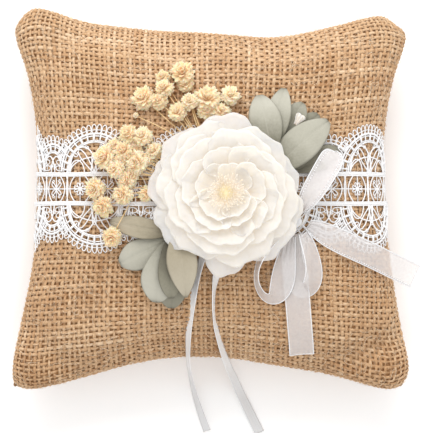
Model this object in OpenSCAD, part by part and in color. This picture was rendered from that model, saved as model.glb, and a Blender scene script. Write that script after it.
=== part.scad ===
// Ring bearer pillow lying on its back: a burlap cushion with a lace band, a fabric
// flower, two leaf sprays, two gypsophila sprigs, an organza bow and two ring ribbons.
// Frame: +Z up, +X to the right, +Y towards the top edge. The origin is on the table
// under the middle of the pillow. Millimetres.

/* [Pillow] */
// Width of the square that the seam's corners lie in
pillow_w = 207; // [175:2:235]
// Height of that square
pillow_h = 200; // [170:2:230]
// How far the left and right edges pull in at their middles
waist_x = 14.5; // [6:0.5:18]
// How far the top and bottom edges pull in at their middles
waist_y = 19; // [6:0.5:22]
// Rise of the front above the seam
crown = 35; // [30:1:40]
// Height of the seam above the table
seam_z = 27; // [24:1:30]
// Drop of the back below the seam, before the table flattens it
belly = 33; // [32:1:36]
// Thickness of the burlap
burlap_t = 1.2; // [0.8:0.1:2]
// Width of the turned-in seam allowance
allowance = 6; // [4:1:8]

/* [Lace] */
// Thickness of the lace
lace_t = 0.8; // [0.5:0.1:1.2]
// Half width of the band at the tips of its large scallops
lace_half = 33; // [26:1:38]
// Length of one repeat: a large scallop and a small one
lace_repeat = 42; // [36:1:50]

/* [Flower] */
// Radius of the largest petal layer
flower_r = 37.5; // [32:0.5:42]
// Radius of the felt disc under the flower
felt_r = 20; // [15:1:24]

/* [Ribbons] */
// Width of the satin ring ribbons
satin_w = 5; // [3:0.5:6]
// Width of the organza ribbon of the bow
organza_w = 12; // [8:1:15]

/* [Hidden] */

// Colours
burlap_c = "#C9A06E";
cream_c = "#F2E4C0";
leaf_c = "#A5AA98";
white_c = "#F4F2EE";
thread_c = "#E6DCC8";
lining_c = "#8A6242";

// Steps along each side of a cushion panel
panel_steps = 20;
lining_steps = 16;
// Shape of the edges between the corners
edge_power_x = 2.2;
edge_power_y = 1.9;
// How much of each corner is rounded off
corner_cut = 5;
corner_power = 12;
rim_power = 8;
// Layers inside the cover
lining_t = 0.5;
lining_gap = 0.4;
lining_inset = allowance + 2.5;
fill_inset = lining_inset + 2;
rim_half = 0.5;

// The flower's middle, and the heights of what it stands on
flower_x = 7.6;
flower_y = 3;
lace_top = seam_z + crown + lace_t;
glue_t = 0.8;
felt_t = 1.5;
felt_z = lace_top + glue_t;
petal_z = felt_z + felt_t + 2.6;
petal_t = 0.5;
pip_r = 1.4;
petal_sides = 40;
petal_rings = 5;

// Sides of a swept satin ribbon
cord_sides = 8;
satin_t = 0.8;
organza_t = 0.3;

// ---------- helpers ----------

// One side of the cushion: plan and bulge for u and v from -1 to 1
function edge_x(v) = pillow_w / 2 - waist_x * (1 - pow(abs(v), edge_power_x));
function edge_y(u) = pillow_h / 2 - waist_y * (1 - pow(abs(u), edge_power_y));
function round_off(u, v) = corner_cut * pow(abs(u * v), corner_power);
function bulge(u, v) = sqrt(max(0, 1 - u * u)) * sqrt(max(0, 1 - v * v));
// The turned-in allowance thickens the panel only close to the rim
function rim_inset(u, v, inset) =
    inset <= burlap_t ? inset
    : burlap_t + (inset - burlap_t) * pow(max(abs(u), abs(v)), rim_power);
function plan(u, v, inset) = [
    u * (edge_x(v) - rim_inset(u, v, inset) - round_off(u, v)),
    v * (edge_y(u) - rim_inset(u, v, inset) - round_off(u, v))];
function front_point(u, v, inset, rise) = concat(plan(u, v, inset), [seam_z + rise * bulge(u, v)]);
function back_point(u, v, inset, drop, floor_z) =
    concat(plan(u, v, inset), [max(floor_z, seam_z - drop * bulge(u, v))]);
// Even angles give short steps near the rim, where the cloth turns down
function step_at(i, n) = sin(-90 + 180 * i / n);
function front_grid(n, inset, rise, lift = 0) =
    [for (i = [0:n]) [for (j = [0:n])
        front_point(step_at(i, n), step_at(j, n), inset, rise) + [0, 0, lift]]];
function back_grid(n, inset, drop, floor_z, lift = 0) =
    [for (i = [0:n]) [for (j = [0:n])
        back_point(step_at(i, n), step_at(j, n), inset, drop, floor_z) + [0, 0, lift]]];

// Height of the front over a point of the plan
function front_z(x, y) =
    let (v = y / edge_y(x / (pillow_w / 2)), u = x / edge_x(v))
    seam_z + crown * bulge(min(1, abs(u)), min(1, abs(v)));

function under_face(face, under) = [face[0] + under, face[2] + under, face[1] + under];

// A closed solid between two grids of points; wrap closes the second direction
module sheet_solid(upper, lower, wrap = false) {
    ni = len(upper) - 1;
    columns = len(upper[0]);
    nj = wrap ? columns : columns - 1;
    under = (ni + 1) * columns;
    at = function (i, j) i * columns + (j % columns);
    // Each diagonal runs towards the nearest corner, so that no corner triangle lies flat
    surface = [for (i = [0:ni - 1]) for (j = [0:nj - 1])
        let (a = at(i, j), b = at(i + 1, j), c = at(i + 1, j + 1), d = at(i, j + 1),
             across = (i < ni / 2) != (j < nj / 2),
             pair = across ? [[a, d, b], [b, d, c]] : [[a, d, c], [a, c, b]])
        each [pair[0], pair[1], under_face(pair[0], under), under_face(pair[1], under)]];
    ends = [for (j = [0:nj - 1])
        let (a = at(0, j), d = at(0, j + 1), b = at(ni, j), c = at(ni, j + 1))
        each [[d, a, a + under], [d, a + under, d + under],
              [b, c, c + under], [b, c + under, b + under]]];
    sides = wrap ? [] : [for (i = [0:ni - 1])
        let (a = at(i, 0), b = at(i + 1, 0), d = at(i, nj), c = at(i + 1, nj))
        each [[a, b, b + under], [a, b + under, a + under],
              [c, d, d + under], [c, d + under, c + under]]];
    polyhedron(concat([for (row = upper) each row], [for (row = lower) each row]),
               concat(surface, ends, sides));
}

// Smooth route through points given by hand (Catmull-Rom); columns: x, y, z, roll, width
function spline_part(p0, p1, p2, p3, t) = 0.5 * (
    2 * p1 + (p2 - p0) * t + (2 * p0 - 5 * p1 + 4 * p2 - p3) * t * t
    + (3 * p1 - p0 - 3 * p2 + p3) * t * t * t);
function route(points, steps) =
    let (n = len(points) - 1)
    concat([for (i = [0:n - 1]) for (k = [0:steps - 1])
        spline_part(points[max(0, i - 1)], points[i], points[i + 1], points[min(n, i + 2)],
                    k / steps)], [points[n]]);
function place_of(p) = [p[0], p[1], p[2]];
function unit(v) = v / norm(v);

// Sweep a flat section along a route: roll 0 lays the ribbon level
module ribbon_solid(path, thickness, sides) {
    n = len(path) - 1;
    rings = [for (i = [0:n])
        let (here = place_of(path[i]),
             along = unit(place_of(path[min(n, i + 1)]) - place_of(path[max(0, i - 1)])),
             level = unit(cross([0, 0, 1], along)),
             up = cross(along, level),
             roll = path[i][3],
             across = level * cos(roll) + up * sin(roll),
             face = cross(along, across))
        [for (k = [0:sides - 1])
            let (a = 360 * (k + 0.5) / sides)
            here + across * cos(a) * path[i][4] / 2 / cos(sides == 4 ? 45 : 0)
                 + face * sin(a) * thickness / 2 / cos(sides == 4 ? 45 : 0)]];
    walls = [for (i = [0:n - 1]) for (k = [0:sides - 1])
        let (a = i * sides + k, b = i * sides + (k + 1) % sides)
        each [[a, b, b + sides], [a, b + sides, a + sides]]];
    polyhedron([for (ring = rings) each ring],
               concat(walls, [[for (k = [sides - 1:-1:0]) k]],
                      [[for (k = [0:sides - 1]) n * sides + k]]));
}

// Place a child so that its +Z runs from one point towards another
module aimed(from, to) {
    way = to - from;
    translate(from)
        rotate([0, acos(way[2] / norm(way)), atan2(way[1], way[0])])
            children();
}
module rod(from, to, r) {
    aimed(from, to) cylinder(h = norm(to - from), r = r, $fn = 16);
}

// ---------- cushion ----------

// What the table would be inside is cut off flat
module above_table() {
    intersection() {
        children();
        translate([-pillow_w, -pillow_h, 0])
            cube([2 * pillow_w, 2 * pillow_h, 2 * (seam_z + crown)]);
    }
}

module fibre_fill() {
    rise = crown - burlap_t - 2 * lining_gap - lining_t;
    drop = belly - burlap_t - 2 * lining_gap - lining_t;
    floor_z = burlap_t + 2 * lining_gap + lining_t;
    color("#F7F7F5") sheet_solid(
        front_grid(lining_steps, fill_inset, rise - rim_half, rim_half),
        back_grid(lining_steps, fill_inset, drop - rim_half, floor_z + rim_half, -rim_half));
}

module lining_front() {
    rise = crown - burlap_t - lining_gap;
    color(lining_c) sheet_solid(
        front_grid(lining_steps, lining_inset, rise),
        front_grid(lining_steps, lining_inset + 1, rise - lining_t));
}

module lining_back() {
    drop = belly - burlap_t - lining_gap;
    floor_z = burlap_t + lining_gap;
    color(lining_c) sheet_solid(
        back_grid(lining_steps, lining_inset + 1, drop - lining_t, floor_z + lining_t),
        back_grid(lining_steps, lining_inset, drop, floor_z));
}

module cover_front() {
    color(burlap_c) sheet_solid(
        front_grid(panel_steps, 0, crown),
        front_grid(panel_steps, allowance, crown - burlap_t));
}

// The table presses the back flat
module cover_back() {
    color(burlap_c) above_table() sheet_solid(
        back_grid(panel_steps, allowance, belly - burlap_t, burlap_t),
        back_grid(panel_steps, 0, belly, -belly));
}

// Overlock stitches bind the two raw edges inside the seam
module seam_stitches() {
    stitch_h = 3;
    per_side = 18;
    color(thread_c)
    for (side = [0:3]) for (i = [0:per_side - 1]) {
        s = -0.9 + 1.8 * i / (per_side - 1);
        uv = [[s, 1], [s, -1], [1, s], [-1, s]][side];
        spot = plan(uv[0], uv[1], allowance + 1);
        translate([spot[0], spot[1], seam_z - stitch_h / 2]) cylinder(h = stitch_h, r = 0.4, $fn = 16);
    }
}

// Slip stitches close the gap that the pillow was turned and filled through
module closing_stitches() {
    stitch_l = 3;
    pitch = 6;
    r = 0.4;
    color(thread_c)
    for (i = [-5:5]) {
        x = i * pitch;
        y = -edge_y(x / (pillow_w / 2)) - r - 0.3;
        rod([x - stitch_l / 2, y, seam_z], [x + stitch_l / 2, y, seam_z], r);
    }
}

// ---------- lace ----------

lace_y = 5;
lace_valley = lace_half - 8;
small_scallop = lace_half - 4;
lace_columns = 60;
lace_rows = 4;
first_scallop_x = -56;

// Half width of the band: a large scallop over two thirds of the repeat, then a small one
function arch(t) = sqrt(max(0, 1 - t * t));
function scallop(x) =
    let (turns = (x - first_scallop_x) / lace_repeat, s = abs(turns - round(turns)))
    s < 1 / 3 ? lace_valley + (lace_half - lace_valley) * arch(3 * s)
              : lace_valley + (small_scallop - lace_valley) * arch(6 * (0.5 - s));
function lace_grid(grow) =
    [for (i = [0:lace_columns]) [for (j = [0:lace_rows])
        let (u = step_at(i, lace_columns),
             y = lace_y + scallop(u * pillow_w / 2) * (2 * j / lace_rows - 1),
             v = y / edge_y(u))
        front_point(u, v, -grow, crown + grow)]];

module lace_band() {
    color(white_c) sheet_solid(lace_grid(lace_t), lace_grid(0.05));
}

module lace_tacks() {
    stitch_l = 3;
    r = 0.4;
    color(thread_c)
    for (side = [-1, 1]) for (i = [-2:2]) {
        y = lace_y + i * 11;
        x = side * (edge_x(y / (pillow_h / 2)) + lace_t + r + 0.3);
        rod([x, y - stitch_l / 2, seam_z + 2], [x, y + stitch_l / 2, seam_z + 2], r);
    }
}

// ---------- flower ----------

module glue_pad() {
    color("#EFE9DC") translate([flower_x, flower_y, lace_top])
        cylinder(h = glue_t, r = felt_r * 0.7, $fn = 48);
}

module felt_disc() {
    color(white_c) translate([flower_x, flower_y, felt_z])
        cylinder(h = felt_t, r = felt_r, $fn = 64);
}

// The pip: a base disc on the felt, a pin through every layer and a button on top
pin_top = petal_z + 7;
module flower_pip() {
    color("#DCE3C8") translate([flower_x, flower_y, 0]) {
        translate([0, 0, felt_z + felt_t]) cylinder(h = 1.8, r = 6, $fn = 32);
        translate([0, 0, felt_z + felt_t + 1])
            cylinder(h = pin_top - felt_z - felt_t - 1, r = pip_r, $fn = 24);
        translate([0, 0, pin_top - 0.5]) cylinder(h = 1.5, r = 3.5, $fn = 32);
    }
}

// Layers from the widest, nearly flat one to the narrow cup round the stamens
layer_r = [flower_r, flower_r - 2.5, flower_r - 6.5, flower_r - 11.5, flower_r - 16.5, flower_r - 22];
layer_rise = [3, 8, 13, 16, 17, 16];
layer_turn = [0, 34, 12, 47, 25, 58];
lobes = 5;
function lobe_r(i, a) = layer_r[i] * (0.84 + 0.16 * pow(abs(cos(lobes * (a - layer_turn[i]) / 2)), 0.6));
function petal_grid(i, lift) =
    [for (k = [0:petal_rings]) [for (j = [0:petal_sides - 1])
        let (a = 360 * j / petal_sides, hole = pip_r + 0.2, rim = lobe_r(i, a),
             r = hole + (rim - hole) * k / petal_rings, z = layer_rise[i] * pow(r / layer_r[i], 2))
        [flower_x + r * cos(a), flower_y + r * sin(a), petal_z + i + z + lift]]];

module petal_layer(i) {
    color("#FAF3E6") sheet_solid(petal_grid(i, petal_t), petal_grid(i, 0), wrap = true);
}

module stamens() {
    count = 24;
    color("#F0DFA8")
    for (i = [0:count - 1]) {
        a = i * 137.5;
        lean = 2 + 6 * sqrt(i / count);
        foot = [flower_x + 2.6 * cos(a), flower_y + 2.6 * sin(a), pin_top + 1];
        tip = [flower_x + lean * cos(a) * 1.1, flower_y + lean * sin(a) * 1.1, pin_top + 9 - lean / 3];
        rod(foot, tip, 0.25);
    }
}

// ---------- leaves ----------

leaf_t = 0.5;
leaf_rows = 8;
leaf_columns = 4;

// Outline of a round leaf: narrow at the stalk, widest past the middle
function leaf_half(t, width) = width / 2 * pow(max(0, sin(180 * pow(0.02 + 0.96 * t, 1.25))), 0.7);
function leaf_grid(root, tip, width, arch_h, lift) =
    let (way = tip - root, flat = unit([way[0], way[1], 0]), level = [-flat[1], flat[0], 0])
    [for (i = [0:leaf_rows]) [for (j = [0:leaf_columns])
        let (t = i / leaf_rows, s = 2 * j / leaf_columns - 1)
        root + way * t + level * s * leaf_half(t, width)
        + [0, 0, arch_h * 4 * t * (1 - t) + 0.08 * width * s * s + lift]]];

module leaf(spec) {
    color(leaf_c) sheet_solid(
        leaf_grid(spec[0], spec[1], spec[2], spec[3], leaf_t),
        leaf_grid(spec[0], spec[1], spec[2], spec[3], 0));
}

// Each leaf: stalk end, tip, width and arch, from the lowest leaf to the highest
upper_leaves = [
    [[41, 14, 61.5], [65, 26, 53.5], 12, 1],
    [[38, 26, 61.5], [55, 44, 54], 12, 1],
    [[37, 29, 62.5], [49, 50, 54.5], 13, 1],
    [[34, 28, 63.5], [39, 56.5, 55.5], 13, 1.5],
    [[38, 20, 64.5], [61, 40, 57.5], 18, 2],
    [[34, 26, 65.5], [26, 53, 59.5], 18, 2]];
lower_leaves = [
    [[-20, -22, 59], [-21, -54.5, 52.5], 20, 1],
    [[-21, -21, 61], [-46, -32, 54.5], 15, 1],
    [[-22, -24, 61.5], [-28, -52, 54.5], 17, 1.5],
    [[-20, -22, 63], [-18, -49, 56], 12, 1],
    [[-17, -20, 64.5], [-11, -47, 57.5], 15, 2],
    [[-21, -17, 63.5], [-49, -11.5, 57.5], 12, 1.5]];

module upper_stem() {
    color("#8E9480") rod([flower_x + 8, flower_y + 7, 66.4], [32, 23.5, 63.5], 0.7);
}

module lower_stem() {
    color("#8E9480") rod([flower_x - 7, flower_y - 6, 66.4], [-14.5, -16.5, 63], 0.7);
}

bud_foot = [41, 36.5, 58.5];
bud_tip = [47.5, 42.5, 58.5];
module upper_bud() {
    color(cream_c) aimed(bud_foot, bud_tip) {
        cylinder(h = 5.5, r1 = 0.8, r2 = 2.6, $fn = 24);
        translate([0, 0, 5.5]) cylinder(h = 1.2, r1 = 2.6, r2 = 1.4, $fn = 24);
    }
}

module upper_bud_stalk() {
    color("#D9C89A") rod([33.5, 30, 57.8], bud_foot - [0.3, 0.28, 0], 0.3);
}

// ---------- gypsophila ----------

// Each head: x, y, radius and how far its middle stands above the pillow
top_root = [-4, 34, 0];
top_heads = [
    [-35, 52, 4.2, 6], [-25, 64, 2.6, 5], [-14, 66, 4.2, 8], [-10, 57.5, 2.8, 5],
    [-24, 57, 3, 8], [-28, 49, 3, 6], [-10, 49, 3, 8], [-17, 44, 3, 6],
    [-1, 53.5, 4, 7], [-3, 45.5, 2.6, 5], [4, 45.5, 2.6, 5], [11, 54, 3.4, 6]];
left_root = [-25, 10, 0];
left_heads = [
    [-42, 33, 3.2, 6], [-34.5, 32, 3.2, 7], [-38, 26.5, 2, 4], [-29, 24.5, 3, 4],
    [-44, 24.5, 3.4, 7], [-54, 21, 4.4, 6], [-48.5, 15, 3, 9], [-38, 18.5, 4, 7],
    [-43, 9.5, 3.4, 5], [-59, 5, 3.4, 6], [-45, 2, 3.4, 7], [-55, -4, 3.4, 6],
    [-33, 2, 2.6, 4], [-50, -20, 3.4, 6]];
stalk_r = 0.3;
calyx_l = 1.6;

function head_place(h) = [h[0], h[1], front_z(h[0], h[1]) + h[3]];
// Stalks start side by side, a little apart, and rise to their heads
function stalk_foot(root, h, i) =
    let (x = root[0] + (i % 4) * 1.2 - 1.8, y = root[1] + floor(i / 4) * 1.2)
    [x, y, front_z(x, y) + 2 + (i % 3) * 0.8];
function head_axis(root, h, i) = unit(head_place(h) + [0, 0, 3] - stalk_foot(root, h, i));
function head_foot(root, h, i) = head_place(h) - head_axis(root, h, i) * h[2];

module heads(root, list) {
    color(cream_c)
    for (i = [0:len(list) - 1]) {
        h = list[i];
        foot = head_foot(root, h, i);
        aimed(foot, foot + head_axis(root, h, i)) {
            cylinder(h = h[2] * 1.2, r1 = h[2] * 0.2, r2 = h[2], $fn = 24);
            translate([0, 0, h[2] * 1.2]) cylinder(h = h[2] * 0.5, r1 = h[2], r2 = h[2] * 0.5, $fn = 24);
        }
    }
}

module calyxes(root, list) {
    color("#D8C58C")
    for (i = [0:len(list) - 1]) {
        h = list[i];
        foot = head_foot(root, h, i) - head_axis(root, h, i) * calyx_l;
        aimed(foot, foot + head_axis(root, h, i))
            cylinder(h = calyx_l, r1 = stalk_r, r2 = h[2] * 0.2, $fn = 16);
    }
}

module stalks(root, list) {
    color("#DCCB9C")
    for (i = [0:len(list) - 1]) {
        h = list[i];
        rod(stalk_foot(root, h, i), head_foot(root, h, i) - head_axis(root, h, i) * calyx_l, stalk_r);
    }
}

// ---------- organza bow ----------

knot = [43, -11, 60.5];
knot_r = 2.8;
knot_h = 3.6;

module bow_knot() {
    color(white_c) translate(knot) rotate_extrude($fn = 32)
        polygon([[0, -knot_h / 2], [knot_r - 0.8, -knot_h / 2], [knot_r, -0.6],
                 [knot_r, 0.6], [knot_r - 0.8, knot_h / 2], [0, knot_h / 2]]);
}

module bow_binding() {
    color(thread_c) translate(knot) rotate_extrude($fn = 32)
        translate([knot_r + 0.45, 0]) circle(r = 0.4, $fn = 16);
}

// Routes of the ribbon: x, y, z, roll and width; narrow where the knot gathers it
narrow = organza_w / 3;
upper_loop = [
    [45, -6.6, 61.6, 0, narrow], [48, -1, 65.5, 0, organza_w * 0.8], [54, 8.5, 66.5, 0, organza_w],
    [60, 19, 62.5, 0, organza_w], [63, 24, 59.5, 0, organza_w], [61.5, 21.5, 57.4, 0, organza_w],
    [56, 12, 58.2, 0, organza_w], [50, 1, 59.2, 0, organza_w * 0.8], [46.6, -6, 59.8, 0, narrow]];
side_tail = [
    [47.6, -12.6, 60.2, 0, narrow], [54, -15.5, 57, 6, organza_w * 0.8], [63, -20.5, 53, 8, organza_w],
    [78, -27, 45.5, 6, organza_w], [91, -33.5, 37, 3, organza_w], [107, -41, 30, 0, organza_w]];
left_loop = [
    [38.6, -13.4, 60.6, 20, narrow], [30, -22, 61, 70, organza_w * 0.8], [23.5, -33, 63, 85, organza_w],
    [23, -43, 61.5, 80, organza_w], [28.5, -51, 57.5, 55, organza_w], [34.5, -47, 57.5, 20, organza_w],
    [36.5, -38, 59, 5, organza_w], [38, -28, 60.6, 0, organza_w * 0.7], [40.4, -16, 61.4, 0, narrow]];
right_loop = [
    [45.6, -15.4, 60.8, -20, narrow], [49, -24, 60.6, -40, organza_w * 0.8], [51.5, -34, 59.6, -50, organza_w],
    [51, -42, 58.2, -45, organza_w], [47.5, -46.5, 55.4, -20, organza_w], [43.5, -41, 55.4, 0, organza_w],
    [41.5, -32, 57, 0, organza_w * 0.8], [42.8, -16.4, 58.6, 0, narrow]];
lower_tail = [
    [41.4, -15.4, 58.4, 0, narrow], [41, -25, 57.2, 0, organza_w * 0.9], [42.5, -38, 55.2, 0, organza_w],
    [43.5, -50, 52.6, 0, organza_w], [44.5, -62, 48.4, 0, organza_w], [45.5, -73, 42.8, 0, organza_w],
    [46, -80, 39, 0, organza_w]];
loop_steps = 4;

module organza(points) {
    color([0.97, 0.97, 0.97, 0.6]) ribbon_solid(route(points, loop_steps), organza_t, 4);
}

// ---------- ring ribbons ----------

// Both run from the tack under the flower, over the lower edge and down to the table.
// x, y, z, roll and width
left_route = [
    [1, -19, 64, 10, satin_w], [-4, -29, 63, 45, satin_w], [-7, -39, 60.2, 50, satin_w],
    [-9, -50, 56.8, 50, satin_w], [-10.5, -60, 52.4, 52, satin_w], [-11.3, -68, 48, 58, satin_w],
    [-11.6, -75, 42.8, 64, satin_w], [-11.6, -81, 35, 68, satin_w], [-11.4, -85, 26, 70, satin_w],
    [-10.8, -88.5, 16, 70, satin_w], [-10, -93, 8, 68, satin_w], [-8.4, -100, 3.6, 62, satin_w],
    [-5.6, -109, 2.9, 52, satin_w], [-2, -119, 2.7, 42, satin_w]];
right_route = [
    [5, -19, 64, -10, satin_w], [4.5, -28, 62.6, -30, satin_w], [3, -37, 61.2, -45, satin_w],
    [1.6, -46, 59.2, -72, satin_w], [1.4, -55, 56, -76, satin_w], [2.4, -64, 51, -66, satin_w],
    [4.4, -72, 45.6, -60, satin_w], [6.6, -79, 38.4, -54, satin_w], [8.4, -84, 29, -50, satin_w],
    [10, -88, 19, -46, satin_w], [12, -92.5, 10.4, -40, satin_w], [15, -99.5, 4.2, -32, satin_w],
    [19.6, -109, 2, -22, satin_w], [25, -120, 1.4, -12, satin_w]];
satin_steps = 4;

module ring_ribbon(points) {
    color(white_c) ribbon_solid(route(points, satin_steps), satin_t, cord_sides);
}

module ribbon_tack() {
    color(thread_c) rod([-1.5, -18.6, 65.4], [7.5, -18.6, 65.4], 0.4);
}

fibre_fill();
lining_front();
lining_back();
cover_front();
cover_back();
seam_stitches();
closing_stitches();
lace_band();
lace_tacks();
glue_pad();
felt_disc();
flower_pip();
for (i = [1:6]) petal_layer(i - 1);
stamens();
upper_stem();
for (i = [1:6]) leaf(upper_leaves[i - 1]);
upper_bud();
upper_bud_stalk();
lower_stem();
for (i = [1:6]) leaf(lower_leaves[i - 1]);
stalks(top_root, top_heads);  // gypsophila_top_stems
heads(top_root, top_heads);  // gypsophila_top_heads
calyxes(top_root, top_heads);  // gypsophila_top_calyxes
stalks(left_root, left_heads);  // gypsophila_left_stems
heads(left_root, left_heads);  // gypsophila_left_heads
calyxes(left_root, left_heads);  // gypsophila_left_calyxes
bow_knot();
bow_binding();
organza(upper_loop);  // bow_upper_loop
organza(side_tail);  // bow_side_tail
organza(left_loop);  // bow_left_loop
organza(right_loop);  // bow_right_loop
organza(lower_tail);  // bow_lower_tail
ring_ribbon(left_route);  // ring_ribbon_left
ring_ribbon(right_route);  // ring_ribbon_right
ribbon_tack();
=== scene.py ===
"""Ring bearer pillow: the final looks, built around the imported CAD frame."""

import math

import bpy
import numpy as np
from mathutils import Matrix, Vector
from mathutils.bvhtree import BVHTree


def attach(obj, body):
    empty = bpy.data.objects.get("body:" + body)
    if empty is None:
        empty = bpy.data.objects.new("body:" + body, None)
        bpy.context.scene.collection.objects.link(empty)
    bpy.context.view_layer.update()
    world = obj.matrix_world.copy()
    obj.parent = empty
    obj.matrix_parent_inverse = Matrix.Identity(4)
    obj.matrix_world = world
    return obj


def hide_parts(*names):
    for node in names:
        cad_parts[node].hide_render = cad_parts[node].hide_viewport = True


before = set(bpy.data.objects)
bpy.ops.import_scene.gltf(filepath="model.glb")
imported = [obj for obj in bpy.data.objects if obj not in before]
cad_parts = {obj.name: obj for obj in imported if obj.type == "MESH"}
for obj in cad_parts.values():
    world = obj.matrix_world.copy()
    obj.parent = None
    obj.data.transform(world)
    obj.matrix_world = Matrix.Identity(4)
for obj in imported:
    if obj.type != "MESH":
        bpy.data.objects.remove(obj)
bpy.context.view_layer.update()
rng = np.random.default_rng(7)

MM = 0.001

# ---------- sizes repeated from the part's source, in millimetres ----------

PILLOW_W, PILLOW_H = 207, 200
WAIST_X, WAIST_Y = 14.5, 19
CROWN, SEAM_Z, BELLY = 35, 27, 33
EDGE_POWER_X, EDGE_POWER_Y = 2.2, 1.9
CORNER_CUT, CORNER_POWER = 5.5, 7
CORNER_FULL = 0.1
FLOWER = (7.6, 3.0)
SATIN_W, SATIN_T = 5, 0.35
ORGANZA_W = 12


# ---------- the pillow's outline and other sums ----------


def edge_x(v):
    """Half the panel's width at a height v, from -1 to 1; edge_y is half its height at u."""
    return PILLOW_W / 2 - WAIST_X * (1 - np.abs(v) ** EDGE_POWER_X)


def edge_y(u):
    return PILLOW_H / 2 - WAIST_Y * (1 - np.abs(u) ** EDGE_POWER_Y)


def plain_bulge(u, v):
    """The smooth rise of the part's own solid, from 0 at the seam to 1."""
    return np.sqrt(np.maximum(0, 1 - u * u)) * np.sqrt(np.maximum(0, 1 - v * v))


# How far each seam lies outside the part's smooth edge, at nine places from its low end to
# its high end: the stuffed corners stand out and the stretches next to them pull in
SEAM_PLACES = (-1, -0.88, -0.62, -0.32, 0, 0.32, 0.62, 0.88, 1)
TOP_SEAM = (-2.5, 4.5, 3, 4.5, 5, 1, 1, 0.5, -5)
BOTTOM_SEAM = (1, 4, 3.5, 1, 1, 3, 3, 4, 1)
LEFT_SEAM = (3, 4.5, 4, 2, 1, 0, 0.5, 3, -0.5)
RIGHT_SEAM = (-0.5, 4, 3.5, 2.5, 1, -0.5, 0.5, 2.5, -5)


def seam_shift(shifts, place):
    """A seam's shift at any place along it, on a smooth curve through the nine."""
    places, shifts = spline(list(zip(SEAM_PLACES, shifts)), 8).T
    return np.interp(place, places, shifts)


def bulge(u, v):
    """The panel's rise from 0 at the seam to 1; the stuffed corners are fuller."""
    rise = np.maximum(0, 1 - u * u) * np.maximum(0, 1 - v * v)
    return rise ** (0.5 - CORNER_FULL * (u * v) ** 2)


def plan(u, v):
    """x and y of a place on a panel, in millimetres; u and v run from -1 to 1 between the seams."""
    cut = CORNER_CUT * np.abs(u * v) ** CORNER_POWER
    tall = np.where(v > 0, seam_shift(TOP_SEAM, u), seam_shift(BOTTOM_SEAM, u))
    wide = np.where(u > 0, seam_shift(RIGHT_SEAM, v), seam_shift(LEFT_SEAM, v))
    x = u * (edge_x(v) - cut + wide * np.abs(u) ** 3)
    y = v * (edge_y(u) - cut + tall * np.abs(v) ** 3)
    return x, y


def unit(a):
    return a / np.maximum(np.linalg.norm(a, axis=-1, keepdims=True), 1e-12)


def smooth_step(a, b, x):
    t = np.clip((x - a) / (b - a), 0, 1)
    return t * t * (3 - 2 * t)


def spline(points, steps):
    """Catmull-Rom through rows of numbers, as the part's source draws its routes."""
    p = np.asarray(points, float)
    n = len(p) - 1
    rows = []
    for i in range(n):
        p0, p1, p2, p3 = p[max(0, i - 1)], p[i], p[i + 1], p[min(n, i + 2)]
        for k in range(steps):
            t = k / steps
            rows.append(
                0.5
                * (
                    2 * p1
                    + (p2 - p0) * t
                    + (2 * p0 - 5 * p1 + 4 * p2 - p3) * t * t
                    + (3 * p1 - p0 - 3 * p2 + p3) * t**3
                )
            )
    rows.append(p[n])
    return np.array(rows)


def along_line(line, at, place):
    """Points of a line at some places, given the place of each of its own points."""
    index = np.interp(at, place, np.arange(len(line)))
    return np.stack([np.interp(index, np.arange(len(line)), c) for c in line.T], 1)


# ---------- meshes ----------


def make_mesh(verts, faces, uv=None, values=None):
    """Mesh from arrays: faces is a list of integer arrays, one row of corners per face."""
    groups = [np.asarray(f, np.int32) for f in faces if len(f)]
    mesh = bpy.data.meshes.new("mesh")
    verts = np.asarray(verts, np.float32).reshape(-1, 3)
    mesh.vertices.add(len(verts))
    mesh.vertices.foreach_set("co", verts.ravel())
    corners = np.concatenate([g.ravel() for g in groups])
    totals = np.concatenate([np.full(len(g), g.shape[1], np.int32) for g in groups])
    starts = np.concatenate([[0], np.cumsum(totals)[:-1]]).astype(np.int32)
    mesh.loops.add(len(corners))
    mesh.loops.foreach_set("vertex_index", corners)
    mesh.polygons.add(len(totals))
    mesh.polygons.foreach_set("loop_start", starts)
    mesh.polygons.foreach_set("loop_total", totals)
    mesh.polygons.foreach_set("use_smooth", np.ones(len(totals), bool))
    if uv is not None:
        layer = mesh.uv_layers.new(name="OFBake")
        layer.data.foreach_set("uv", np.asarray(uv, np.float32).ravel())
    for key, data in (values or {}).items():
        layer = mesh.attributes.new(key, "FLOAT", "POINT")
        layer.data.foreach_set("value", np.asarray(data, np.float32).ravel())
    mesh.update(calc_edges=True)
    mesh.validate()
    return mesh


def new_object(name, data):
    obj = bpy.data.objects.new(name, data)
    bpy.context.scene.collection.objects.link(obj)
    return obj


def piece(name, mesh, mat, replaces=()):
    """A visible piece of the pillow, which may stand for some of the part's own solids."""
    mesh.name = name
    obj = new_object(name, mesh)
    mesh.materials.append(mat)
    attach(obj, "root")
    if replaces:
        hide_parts(*replaces)
    return obj


def grid_faces(rows, columns, start=0, wrap=False):
    """Quads of a grid of points stored row by row."""
    i, j = np.meshgrid(np.arange(rows - 1), np.arange(columns if wrap else columns - 1), indexing="ij")
    i, j = i.ravel(), j.ravel()
    k = (j + 1) % columns
    return start + np.stack(
        [i * columns + j, i * columns + k, (i + 1) * columns + k, (i + 1) * columns + j], 1
    )


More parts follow.
